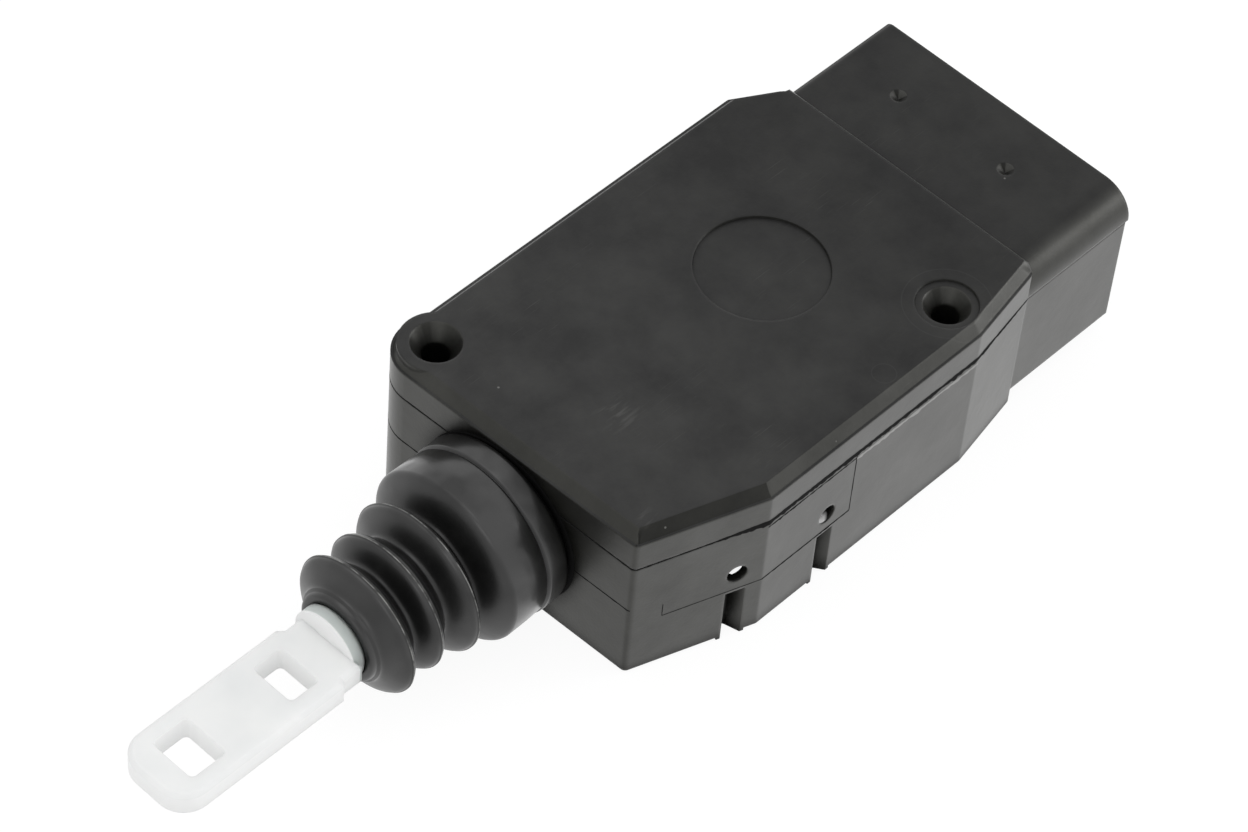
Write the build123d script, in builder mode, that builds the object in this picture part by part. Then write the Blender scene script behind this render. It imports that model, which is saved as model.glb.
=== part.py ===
"""Door latch actuator: a geared motor in a two-part housing that pushes and pulls a plunger.

Millimetres, +Z up. The plunger points to -X and the plug socket to +X. The origin lies on the
housing's underside, midway along the housing without its socket and midway across it.
"""
from build123d import *
from math import acos, asin, atan2, ceil, cos, hypot, pi, radians, sin, tan
import os

os.makedirs("parts", exist_ok=True)

# Housing in plan
body_length = 74.8
body_half_width = 27.0
front_facet_length = 19.0     # along X, from the front's near corner to the long near side
front_facet_width = 6.6
rear_facet_length = 13.9
rear_facet_width = 2.6
rear_bevel_length = 7.1
rear_bevel_width = 4.1
corner_radius = 0.9
boss_radius = 6.1             # round corner about the front screw hole
x_front = -body_length / 2
x_rear = body_length / 2
front_near_y = front_facet_width - body_half_width
rear_near_y = rear_facet_width - body_half_width
rear_far_y = body_half_width - rear_bevel_width

# Housing heights and walls
housing_height = 29.0
cover_height = 6.7
bevel_height = 1.7            # the cover's bevelled top, above its upright wall
floor_thickness = 2.2
roof_thickness = 2.2
wall = 2.2
top_step = 0.35               # ledge between the cover's wall and its bevel
top_bevel = 1.25
base_edge = 0.5
rim_width = 0.9               # tongue on the base's rim, in a groove in the cover
rim_height = 0.9
rim_clearance = 0.1
parting_z = housing_height - cover_height
skirt_top_z = housing_height - bevel_height
roof_z = housing_height - roof_thickness
far_inner_y = body_half_width - wall
middle_z = (floor_thickness + roof_z) / 2

# Socket shroud behind the housing
shroud_length = 21.4
shroud_inset = 0.6            # from the far corner of the rear wall
shroud_bottom_z = 3.0
shroud_drop = 1.6             # below the housing's top
shroud_wall = 2.0
shroud_near_radius = 5.0
shroud_far_radius = 1.4
shroud_edge = 0.6
rear_edge = 0.5
dimple_radius = 1.25
dimple_floor = 0.1
dimple_depth = 0.8
dimple_places = [(11.4, 11.0), (11.9, -8.8)]  # behind the rear wall, and across
shroud_far_y = rear_far_y - shroud_inset
shroud_top_z = housing_height - shroud_drop

# Screw holes through both housing halves, as distances from the ends and from the long sides
front_hole_inset = 4.6
front_hole_side = 5.4
rear_hole_inset = 14.3
rear_hole_side = 6.2
screw_radius = 2.0
sink_radius = 3.7
sink_angle = 68
tower_wall = 2.4
tower_radius = screw_radius + tower_wall
pad_radius = 5.35             # flat pad about the front hole
ring_radius = 4.5             # shallow recess about the rear hole
ring_depth = 0.35
disc_reach = 46.7             # from the front to the middle of the plain disc
disc_y = 0.9
disc_radius = 9.6
disc_depth = 0.4
front_hole = (x_front + front_hole_inset, body_half_width - front_hole_side)
rear_hole = (x_rear - rear_hole_inset, rear_hole_side - body_half_width)

# Side screw holes, the grooves under them and the pockets behind them
side_hole_radius = 1.55
side_wall = 1.3
pocket_drop = 5.3             # from the parting to the top of a pocket
side_hole_drop = 3.6          # from there to the middle of a side hole
groove_drop = 3.7             # and from there to the top of its groove
facet_hole_reach = 15.2
facet_pocket_length = 10.5
side_hole_reach = 31.5
side_pocket_length = 13.2
groove_half_width = 1.5
groove_depth = 2.2            # at its front side, from where it slants out to the wall's face
groove_corner = 0.5
groove_back = 0.6             # wall left behind a groove
pocket_depth = 10.0
pocket_lead = 2.2             # the pocket starts this far ahead of its hole
pocket_skin = 1.5
pocket_corner = 1.5
pocket_top_z = parting_z - pocket_drop
side_hole_z = pocket_top_z - side_hole_drop
groove_top_z = side_hole_z - groove_drop
facet_angle = atan2(front_facet_width, front_facet_length)
side_holes = [
    # x, turn of the wall, length of the pocket
    (x_front + facet_hole_reach, facet_angle, facet_pocket_length),
    (x_front + side_hole_reach, 0.0, side_pocket_length),
]

# Plunger
plunger_y = 3.0
plunger_z = 13.5
stem_radius = 5.6
blade_shift = -0.9            # the blade's middle lies this far towards -Y from the stem's axis
blade_width = 12.8
blade_thickness = 4.0
blade_corner = 4.2
blade_edge = 0.6
blade_root = 11.2             # width between the stem and the blade's shoulders
stem_reach = 33.3             # reaches count outwards from the front corner of the housing
shoulder_reach = 36.0
blade_reach = 65.1
slots = [(41.1, 5.0, 7.3), (58.0, 6.0, 7.7)]  # reach of the middle, length, width
slot_corner = 0.8
lip_groove_depth = 0.4
travel_out = 6.0
travel_in = 10.0
stop_gap = 0.15
stem_edge = 0.5
block_length = 5.0
block_width = 15.0
block_height = 15.0
block_corner = 1.5
rack_half_width = 5.0
rack_bottom_z = 4.0
rack_teeth_behind = 2.5       # pitches from the pinion back to the middle of the last tooth
rack_teeth_spare = 1.5        # pitches ahead of the pinion when the plunger is pulled in

# Neck and guide bush
neck_radius = 11.4
neck_bore_radius = 8.7
neck_lip_radius = 7.8
neck_length = 9.5
neck_lip_length = 1.0
neck_root = 0.6               # how far the neck reaches into the front wall
seat_clearance = 0.05
running_clearance = 0.06
slide_clearance = 0.25
end_gap = 0.3                 # between a turning piece and what stands beside it

# Bellows, with its folds as pairs of a reach and an outer radius
collar_back = 1.7
collar_radius = 13.4
collar_shoulder = 12.3
shoulder_blunt = 1.2
folds = [(14.3, 8.6), (16.3, 11.5), (19.1, 8.0), (21.9, 10.3), (24.6, 7.8), (27.4, 10.5)]
fold_blunt = 0.6              # flat on each crest
lip_reach = 31.2
lip_length = 1.5
lip_radius = 6.4
rubber = 1.2

# Buffers, posts, guides and clips inside the housing
post_thickness = 2.2
post_rise = 3.5               # above the axles
buffer_seat = 0.2             # from the front wall
buffer_length = 2.0
buffer_width = 1.6
buffer_pad = 1.5
buffer_post_length = 1.8
buffer_bottom_z = 6.0
buffer_top_z = 17.0
guide_thickness = 1.5
guide_motor_gap = 9.3
guide_top_z = 7.5
rack_bed_inset = 1.0          # the bed under the rack is narrower by this on each side
clip_length = 1.5
clip_thickness = 1.5
clip_top_z = 6.0
clip_front_inset = 2.0        # from the ends of the contact board
clip_rear_inset = 8.0
cradle_thickness = 2.0
cradle_reach = 8.5            # how far a cradle reaches up from the floor or down from the roof
cradle_inset = 3.0            # from the ends of the motor's can
blade_y = plunger_y + blade_shift
groove_floor = stem_radius - lip_groove_depth + running_clearance
buffer_front_x = x_front + wall + buffer_seat
block_x = buffer_front_x + buffer_length + travel_out + stop_gap
buffer_x = block_x + block_length + travel_in + stop_gap
guide_x = buffer_x + buffer_pad
buffer_posts = [
    (guide_x, plunger_y + side * (rack_half_width + slide_clearance + buffer_width / 2))
    for side in (-1, 1)
]

# Motor, placed between the rear wall, the rear screw tower and the gears
carrier_thickness = 1.5
motor_rear_gap = 0.2
motor_roof_gap = 0.2
motor_side_gap = 10.3         # from the rear screw hole to the near end of the can
pinion_gap = 3.1              # from the far end of the can to the gears
wheel_wall_gap = 5.2          # from the far wall to the near face of the intermediate gear
gear_width = 3.2
can_wall = 0.9
magnet_inset = 1.0            # sides of the magnets, from the sides of the can
magnet_start = 6.5            # these three from the near end of the can
core_start = 7.5
commutator_start = 2.2
magnet_far_gap = 2.6
core_side_gap = 0.5           # to the flats of the can
air_gap = 0.5                 # to the magnets
shaft_radius = 1.0
shaft_spare = 1.2             # the shaft ends this far beyond its pinion's gear
cap_thickness = 2.0
hub_radius = 3.6              # the bosses that hold the motor's bearings
hub_length = 1.5
bearing_radius = 2.6
bearing_clearance = 0.03
brush_side_gap = 0.2
brush_start = 2.5             # from the shaft's axis to the near end of a brush
brush_height = 3.0
brush_width = 2.4
holder_wall = 0.8
pole_count = 3
shoe_thickness = 1.5
slot_mouth = 1.8
winding_gap = 0.3
winding_end = 1.4
commutator_length = 3.2
commutator_radius = 2.4
commutator_core_radius = 1.9
commutator_slot = 0.4
carrier_x = x_rear - wall - carrier_thickness
idler_gear_y = far_inner_y - wheel_wall_gap
motor_near_y = rear_hole[1] + motor_side_gap
motor_far_y = idler_gear_y - pinion_gap
shaft_end_y = idler_gear_y + gear_width + shaft_spare
cradle_ys = (motor_near_y + cradle_inset, motor_far_y - cradle_inset - cradle_thickness)
magnet_y = motor_near_y + magnet_start
magnet_length = motor_far_y - can_wall - magnet_far_gap - magnet_y
core_y = motor_near_y + core_start
core_length = magnet_length - 2 * (core_y - magnet_y)
commutator_y = motor_near_y + commutator_start

# Gear train. Its module is the largest that the housing's height and length leave room for,
# between the floor and the wheels, and between the plunger's block and the rear wall. The
# distances between the shafts, and the axles and hubs, are in modules.
pressure_angle = radians(25)
addendum_factor = 0.85
dedendum_factor = 1.15
backlash = 0.10
motor_teeth = 10
wheel_teeth = 36
small_teeth = 11
rack_pinion_teeth = 12
rack_module_ratio = 1.5       # module of the rack over that of the gears
wheel_floor_gap = 0.99
block_pinion_gap = 2.085      # when the plunger is pulled in
axle_motor_gap = 3.35         # from the intermediate axle to the side of the can
first_distance = (motor_teeth + wheel_teeth) / 2
second_distance = (small_teeth + wheel_teeth) / 2
idler_axle_share = 25 / 12
output_axle_share = 2.5
wheel_hub_share = 6
output_hub_share = 7.5
post_share = 23 / 3
small_gear_length = 5.4
gear_step = 1.4               # between the two wheels
rim_thickness = 1.31          # under the wheels' teeth
web_depth = 0.9
axle_chamfer = 0.3
axle_gap = 0.05               # running clearance of the gears on their axles
gear_z = middle_z
module_for_height = (gear_z - floor_thickness - wheel_floor_gap) / (
    wheel_teeth / 2 + addendum_factor
)
module_for_length = (
    carrier_x - motor_rear_gap + axle_motor_gap
    - block_x - block_length - travel_in - block_pinion_gap
) / (
    2 * first_distance - idler_axle_share + second_distance
    + rack_module_ratio * (rack_pinion_teeth / 2 + addendum_factor)
)
fine_module = min(module_for_height, module_for_length)
rack_module = rack_module_ratio * fine_module
wheel_rim_radius = fine_module * (wheel_teeth / 2 - dedendum_factor) - rim_thickness
wheel_hub_radius = wheel_hub_share * fine_module
output_hub_radius = output_hub_share * fine_module
idler_axle_radius = idler_axle_share * fine_module
output_axle_radius = output_axle_share * fine_module
post_width = post_share * fine_module
motor_flat = (first_distance - idler_axle_share) * fine_module - axle_motor_gap
motor_x = carrier_x - motor_rear_gap - motor_flat
idler_x = motor_x - first_distance * fine_module
output_x = idler_x - second_distance * fine_module
output_gear_y = idler_gear_y - gear_width - gear_step
rack_pinion_y = plunger_y - rack_half_width
rack_pitch = pi * rack_module
rack_pitch_z = gear_z - rack_module * rack_pinion_teeth / 2
rack_root_z = rack_pitch_z - dedendum_factor * rack_module
rack_tip_z = rack_pitch_z + addendum_factor * rack_module
rack_tooth_count = ceil(rack_teeth_behind + travel_in / rack_pitch + rack_teeth_spare)
half_tooth = (rack_pitch - backlash) / 4
rack_end_x = output_x + rack_teeth_behind * rack_pitch + half_tooth
post_top_z = gear_z + post_rise
guide_length = motor_x - motor_flat - guide_motor_gap - guide_x
axle_places = [
    # x, axle radius, near side of the near post, near side of the far boss
    (idler_x, idler_axle_radius, idler_gear_y - small_gear_length - 2 * end_gap - post_thickness,
     idler_gear_y + gear_width + end_gap),
    (output_x, output_axle_radius, rack_pinion_y - end_gap - post_thickness,
     output_gear_y + gear_width + end_gap),
]

# The motor's section, with half its width across the flats found above
motor_radius = middle_z - floor_thickness - motor_roof_gap
core_radius = motor_flat - can_wall - core_side_gap
magnet_radius = core_radius + air_gap
magnet_width = 2 * (motor_flat - can_wall) - magnet_inset
shoe_radius = core_radius - shoe_thickness
core_hub_radius = shoe_radius / 2.1
pole_width = core_hub_radius / 1.4
winding_start = core_hub_radius + winding_gap
winding_width = 2.2 * core_hub_radius
brush_end = motor_flat - can_wall - brush_side_gap
brush_length = brush_end - brush_start
brush_middle = (brush_start + brush_end) / 2

# Switch and terminals
board_y = -8.0
board_thickness = 1.6
board_inset = 6.0             # from the housing's front
board_top_z = 20.0
track_zs = (8.0, 12.0, 16.0)
track_height = 2.2
track_inset = 1.0
track_thickness = 0.3
finger_height = 1.6
wiper_gap = 0.1
wiper_inset = 0.5             # from the front face of the plunger's block
wiper_foot = 3.0
wiper_slope = 1.5
wiper_bend = 0.4
wiper_length = 9.0
strip_thickness = 0.5
blade_count = 5
blade_gap = 1.2               # between two terminals
blade_side_gap = 2.6          # from the shroud's walls to the outer terminals' pitch
terminal_thickness = 0.8
terminal_reach = 10.0
terminal_corner = 1.2
carrier_spare = 0.5
strap_shift = 5.0             # from the shaft's axis
strap_drop = 5.5              # the lower strap below the shaft's axis, and the upper one above it
strap_lift = 3.5
strap_height = 3.0
lead_zs = (4.5, 8.5, 12.5)
lead_height = 2.0
lead_overlap = 4.0            # over the rear end of the contact board
lead_run = 9.5                # along X, from the board's end to the bend
lead_motor_gap = 3.0
lead_tower_gap = 1.1
thermistor_inset = 7.0
thermistor_radius = 3.2
thermistor_thickness = 1.3
board_x = x_front + board_inset
lead_bend_x = motor_x - motor_flat - lead_motor_gap
board_end_x = lead_bend_x - lead_run
board_length = board_end_x - board_x
clip_xs = (board_x + clip_front_inset, board_end_x - clip_rear_inset)
lead_x = board_end_x - lead_overlap
lead_y = rear_hole[1] + tower_radius + lead_tower_gap
blade_pitch = (
    shroud_far_y - rear_near_y - 2 * shroud_wall - 2 * blade_side_gap
) / blade_count
terminal_width = blade_pitch - blade_gap
terminal_middle_y = (rear_near_y + shroud_far_y) / 2
terminal_z = middle_z
terminal_ys = [
    terminal_middle_y + blade_pitch * (i - (blade_count - 1) / 2) for i in range(blade_count)
]
carrier_width = blade_count * blade_pitch - carrier_spare
strap_x = motor_x + strap_shift
strap_zs = (middle_z - strap_drop, middle_z + strap_lift)
thermistor_x = x_rear - thermistor_inset

# The front wall's slant, which ends where it meets the round corner about the front hole
to_hole = (front_hole[0] - x_front, front_hole[1] - front_near_y)
slope_angle = atan2(to_hole[1], to_hole[0]) + asin(boss_radius / hypot(*to_hole))
slope_length = (hypot(*to_hole) ** 2 - boss_radius ** 2) ** 0.5
front_slope_end = (
    x_front + slope_length * cos(slope_angle), front_near_y + slope_length * sin(slope_angle)
)


def upright(y):
    """A plane facing -Y at the given y, whose own axes are X and Z."""
    return Plane(origin=(0, y, 0), x_dir=(1, 0, 0), z_dir=(0, -1, 0))


def facing(x):
    """A plane facing +X at the given x, whose own axes are Y and Z."""
    return Plane(origin=(x, 0, 0), x_dir=(0, 1, 0), z_dir=(1, 0, 0))


def save(builder, name):
    """Labels a finished piece and writes its STEP file."""
    builder.part.label = name
    export_step(builder.part, f"parts/{name}.step")


def half_tooth_angle(radius, base_radius, pitch_radius, thickness):
    """Half the angle that a tooth of an involute gear spans at a radius."""
    def involute(angle):
        return tan(angle) - angle
    at_radius = involute(acos(min(1.0, base_radius / radius)))
    return thickness / (2 * pitch_radius) + involute(pressure_angle) - at_radius


def gear_outline(module, teeth, first_angle):
    """Corner points of an involute gear about the origin, with one tooth centred on first_angle."""
    pitch_radius = module * teeth / 2
    base_radius = pitch_radius * cos(pressure_angle)
    tip_radius = pitch_radius + addendum_factor * module
    root_radius = pitch_radius - dedendum_factor * module
    thickness = pi * module / 2 - backlash / 2
    flank_start = max(root_radius, base_radius)
    radii = [flank_start + (tip_radius - flank_start) * share for share in (0, 0.55, 1)]
    flank = [(r, half_tooth_angle(r, base_radius, pitch_radius, thickness)) for r in radii]
    if root_radius < base_radius:
        flank.insert(0, (root_radius, flank[0][1]))
    points = []
    for tooth in range(teeth):
        middle = first_angle + 2 * pi * tooth / teeth
        rising = [(r, middle - half) for r, half in flank]
        falling = [(r, middle + half) for r, half in reversed(flank)]
        points += [(r * cos(a), r * sin(a)) for r, a in rising + falling]
    return points


# Outlines that several pieces share
with BuildSketch() as plan:
    with BuildLine():
        Polyline(
            (x_front, front_near_y),
            (x_front + front_facet_length, -body_half_width),
            (x_rear - rear_facet_length, -body_half_width),
            (x_rear, rear_near_y),
            (x_rear, rear_far_y),
            (x_rear - rear_bevel_length, body_half_width),
            (front_hole[0], body_half_width),
            front_slope_end,
            close=True,
        )
    make_face()
    fillet(plan.vertices().filter_by(lambda v: v.Y < front_hole[1] - boss_radius), corner_radius)
    fillet(plan.vertices().filter_by(lambda v: v.X > 0 and v.Y > 0), radius=corner_radius)
    with Locations(front_hole):
        Circle(boss_radius)

with BuildSketch() as inner_plan:
    add(plan.sketch)
    offset(amount=-wall, mode=Mode.REPLACE)

with BuildSketch() as top_plan:
    add(plan.sketch)
    with Locations((x_rear, (rear_near_y + rear_far_y) / 2)):
        Rectangle(4 * (top_step + top_bevel), rear_far_y - rear_near_y)
    offset(amount=-top_step, mode=Mode.REPLACE)


def rim_band(play):
    """The band in plan of the base's rim tongue, or with some play that of its groove."""
    with BuildSketch() as band:
        add(plan.sketch)
        offset(amount=-(wall - rim_width) / 2 + play, mode=Mode.REPLACE)
        offset(band.sketch, amount=-rim_width - 2 * play, mode=Mode.SUBTRACT)
    return band.sketch


def can_section(shrink):
    """Section of the motor's flat-sided can, made smaller by an amount all round."""
    with BuildSketch() as section:
        Circle(motor_radius - shrink)
        Rectangle(2 * (motor_flat - shrink), 2 * motor_radius, mode=Mode.INTERSECT)
    return section.sketch


can_seat = can_section(-seat_clearance)


def side_plane(index, z):
    """A level plane whose origin is on the side wall at a side hole and whose +Y points inwards."""
    x, angle, length = side_holes[index]
    y = front_near_y - (x - x_front) * tan(angle) if angle else -body_half_width
    return Plane(origin=(x, y, z), x_dir=(cos(angle), -sin(angle), 0), z_dir=(0, 0, 1))


def pocket_plan(index, skin):
    """The plan of the pocket behind a side hole, grown by a skin, kept inside the side wall."""
    with BuildSketch(side_plane(index, 0)) as pocket:
        with Locations((-pocket_lead - skin, 0)):
            Rectangle(
                side_holes[index][2] + 2 * skin, side_wall + pocket_depth + skin,
                align=(Align.MIN, Align.MIN),
            )
        fillet(pocket.vertices().group_by(Axis.Y)[-1], radius=pocket_corner)
    with BuildSketch() as kept:
        add(plan.sketch)
        offset(amount=skin / 2 - side_wall, mode=Mode.REPLACE)
        add(pocket.sketch, mode=Mode.INTERSECT)
    return kept.sketch


def groove_plan(index, grown):
    """The plan of the groove under a side hole, grown by an amount, inside the side wall's face."""
    with BuildSketch(side_plane(index, 0)) as groove:
        with BuildLine():
            Polyline(
                (-groove_half_width, -groove_half_width),
                (-groove_half_width, groove_depth),
                (0, groove_depth),
                (groove_half_width, 0),
                (groove_half_width, -groove_half_width),
                close=True,
            )
        make_face()
        fillet(groove.vertices().group_by(Axis.Y)[-1], radius=groove_corner)
        if grown:
            offset(amount=grown, mode=Mode.REPLACE)
            Rectangle(
                4 * groove_half_width, 4 * groove_half_width, align=(Align.CENTER, Align.MAX),
                mode=Mode.SUBTRACT,
            )
    return groove.sketch


def axle_post(x, z_top, axle_radius):
    """Side view of a post on the floor with an open slot that an axle lies in."""
    with BuildSketch() as post:
        with Locations((x, floor_thickness / 2)):
            Rectangle(post_width, z_top - floor_thickness / 2, align=(Align.CENTER, Align.MIN))
        with Locations((x, gear_z)):
            Circle(axle_radius + axle_gap, mode=Mode.SUBTRACT)
            Rectangle(
                2 * (axle_radius + axle_gap), z_top, align=(Align.CENTER, Align.MIN),
                mode=Mode.SUBTRACT,
            )
    return post.sketch


# Lower half of the housing
with BuildPart() as housing_base:
    with BuildSketch():
        add(plan.sketch)
    extrude(amount=parting_z)
    chamfer(housing_base.faces().sort_by(Axis.Z)[0].edges(), length=base_edge)
    with BuildSketch(Plane.XY.offset(shroud_bottom_z)):
        with Locations((x_rear - wall, rear_near_y)):
            Rectangle(shroud_length + wall, shroud_far_y - rear_near_y, align=(Align.MIN, Align.MIN))
    extrude(amount=parting_z - shroud_bottom_z)
    chamfer(housing_base.edges().filter_by(Axis.Z).group_by(Axis.X)[-1], length=shroud_edge)
    with BuildSketch(Plane.XY.offset(floor_thickness)):
        add(inner_plan.sketch)
    extrude(amount=housing_height, mode=Mode.SUBTRACT)
    with BuildSketch(facing(x_rear)):
        with Locations((rear_near_y + shroud_wall, shroud_bottom_z + shroud_wall)):
            Rectangle(
                shroud_far_y - rear_near_y - 2 * shroud_wall, housing_height,
                align=(Align.MIN, Align.MIN),
            )
    extrude(amount=shroud_length, mode=Mode.SUBTRACT)
    # Round neck that the bellows fits over
    with BuildSketch(facing(x_front - neck_length)):
        with Locations((plunger_y, plunger_z)):
            Circle(neck_radius)
    extrude(amount=neck_length + neck_root)
    with BuildSketch(Plane.XY.offset(parting_z)):
        add(plan.sketch)
    extrude(amount=housing_height, mode=Mode.SUBTRACT)
    with BuildSketch(facing(x_front - neck_length)):
        with Locations((plunger_y, plunger_z)):
            Circle(neck_lip_radius)
    extrude(amount=neck_length, mode=Mode.SUBTRACT)
    with BuildSketch(facing(x_front - neck_length + neck_lip_length)):
        with Locations((plunger_y, plunger_z)):
            Circle(neck_bore_radius)
    extrude(amount=neck_length + wall, mode=Mode.SUBTRACT)
    # Screw towers
    with BuildSketch(Plane.XY.offset(floor_thickness / 2)):
        with Locations(front_hole, rear_hole):
            Circle(tower_radius)
    extrude(amount=parting_z - floor_thickness / 2)
    # Side pockets, open below, each with the round wall of a groove and a screw hole in front
    for index in range(len(side_holes)):
        with BuildSketch(Plane.XY.offset(floor_thickness / 2)):
            add(pocket_plan(index, pocket_skin))
        extrude(amount=pocket_top_z + pocket_skin - floor_thickness / 2)
    for index in range(len(side_holes)):
        with BuildSketch():
            add(pocket_plan(index, 0))
        extrude(amount=pocket_top_z, mode=Mode.SUBTRACT)
    for index in range(len(side_holes)):
        with BuildSketch():
            add(groove_plan(index, groove_back))
        extrude(amount=groove_top_z + groove_back)
        with BuildSketch():
            add(groove_plan(index, 0))
        extrude(amount=groove_top_z, mode=Mode.SUBTRACT)
        angle = side_holes[index][1]
        inwards = Plane(
            origin=side_plane(index, side_hole_z).origin,
            x_dir=(cos(angle), -sin(angle), 0), z_dir=(sin(angle), cos(angle), 0),
        )
        with BuildSketch(inwards.offset(-side_wall)):
            Circle(side_hole_radius)
        extrude(amount=4 * side_wall, mode=Mode.SUBTRACT)
    # Tongue on the rim
    with BuildSketch(Plane.XY.offset(parting_z)):
        add(rim_band(0))
    extrude(amount=rim_height)
    # Cradles for the motor
    for cradle_y in cradle_ys:
        with BuildSketch(upright(cradle_y)):
            with Locations((motor_x, floor_thickness / 2)):
                Rectangle(2 * motor_flat, cradle_reach, align=(Align.CENTER, Align.MIN))
            with Locations((motor_x, gear_z)):
                add(can_seat, mode=Mode.SUBTRACT)
        extrude(amount=-cradle_thickness)
    # Posts and bosses that the two axles lie in
    for x, radius, near_y, boss_y in axle_places:
        with BuildSketch(upright(near_y)):
            add(axle_post(x, post_top_z, radius))
        extrude(amount=-post_thickness)
        with BuildSketch(upright(boss_y)):
            add(axle_post(x, post_top_z, radius))
        extrude(amount=boss_y - far_inner_y - wall / 2)
    # Guides beside and below the rack, and posts that carry the rear buffers
    with BuildSketch(Plane.XY.offset(floor_thickness / 2)):
        for side in (-1, 1):
            with Locations((guide_x, plunger_y + side * (rack_half_width + slide_clearance))):
                Rectangle(
                    guide_length, guide_thickness,
                    align=(Align.MIN, Align.MAX if side < 0 else Align.MIN),
                )
    extrude(amount=guide_top_z - floor_thickness / 2)
    with BuildSketch(Plane.XY.offset(floor_thickness / 2)):
        with Locations((guide_x, plunger_y)):
            Rectangle(
                guide_length, 2 * (rack_half_width - rack_bed_inset),
                align=(Align.MIN, Align.CENTER),
            )
    extrude(amount=rack_bottom_z - slide_clearance - floor_thickness / 2)
    with BuildSketch(Plane.XY.offset(floor_thickness / 2)):
        with Locations(*buffer_posts):
            Rectangle(buffer_post_length, buffer_width, align=(Align.MIN, Align.CENTER))
    extrude(amount=buffer_top_z - floor_thickness / 2)
    # Clips for the contact board
    with BuildSketch(Plane.XY.offset(floor_thickness / 2)):
        for x in clip_xs:
            with Locations((x, board_y + seat_clearance)):
                Rectangle(clip_length, clip_thickness, align=(Align.MIN, Align.MIN))
            with Locations((x, board_y - board_thickness - seat_clearance)):
                Rectangle(clip_length, clip_thickness, align=(Align.MIN, Align.MAX))
    extrude(amount=clip_top_z - floor_thickness / 2)
    # Slots in the rear wall that the terminals pass through
    with BuildSketch(facing(x_rear - 2 * wall)):
        with Locations(*[(y, terminal_z) for y in terminal_ys]):
            Rectangle(
                terminal_width + 2 * seat_clearance, terminal_thickness + 2 * seat_clearance
            )
    extrude(amount=3 * wall, mode=Mode.SUBTRACT)
    with Locations((*front_hole, parting_z / 2), (*rear_hole, parting_z / 2)):
        Cylinder(screw_radius, 2 * parting_z, mode=Mode.SUBTRACT)
save(housing_base, "housing_base")

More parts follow.
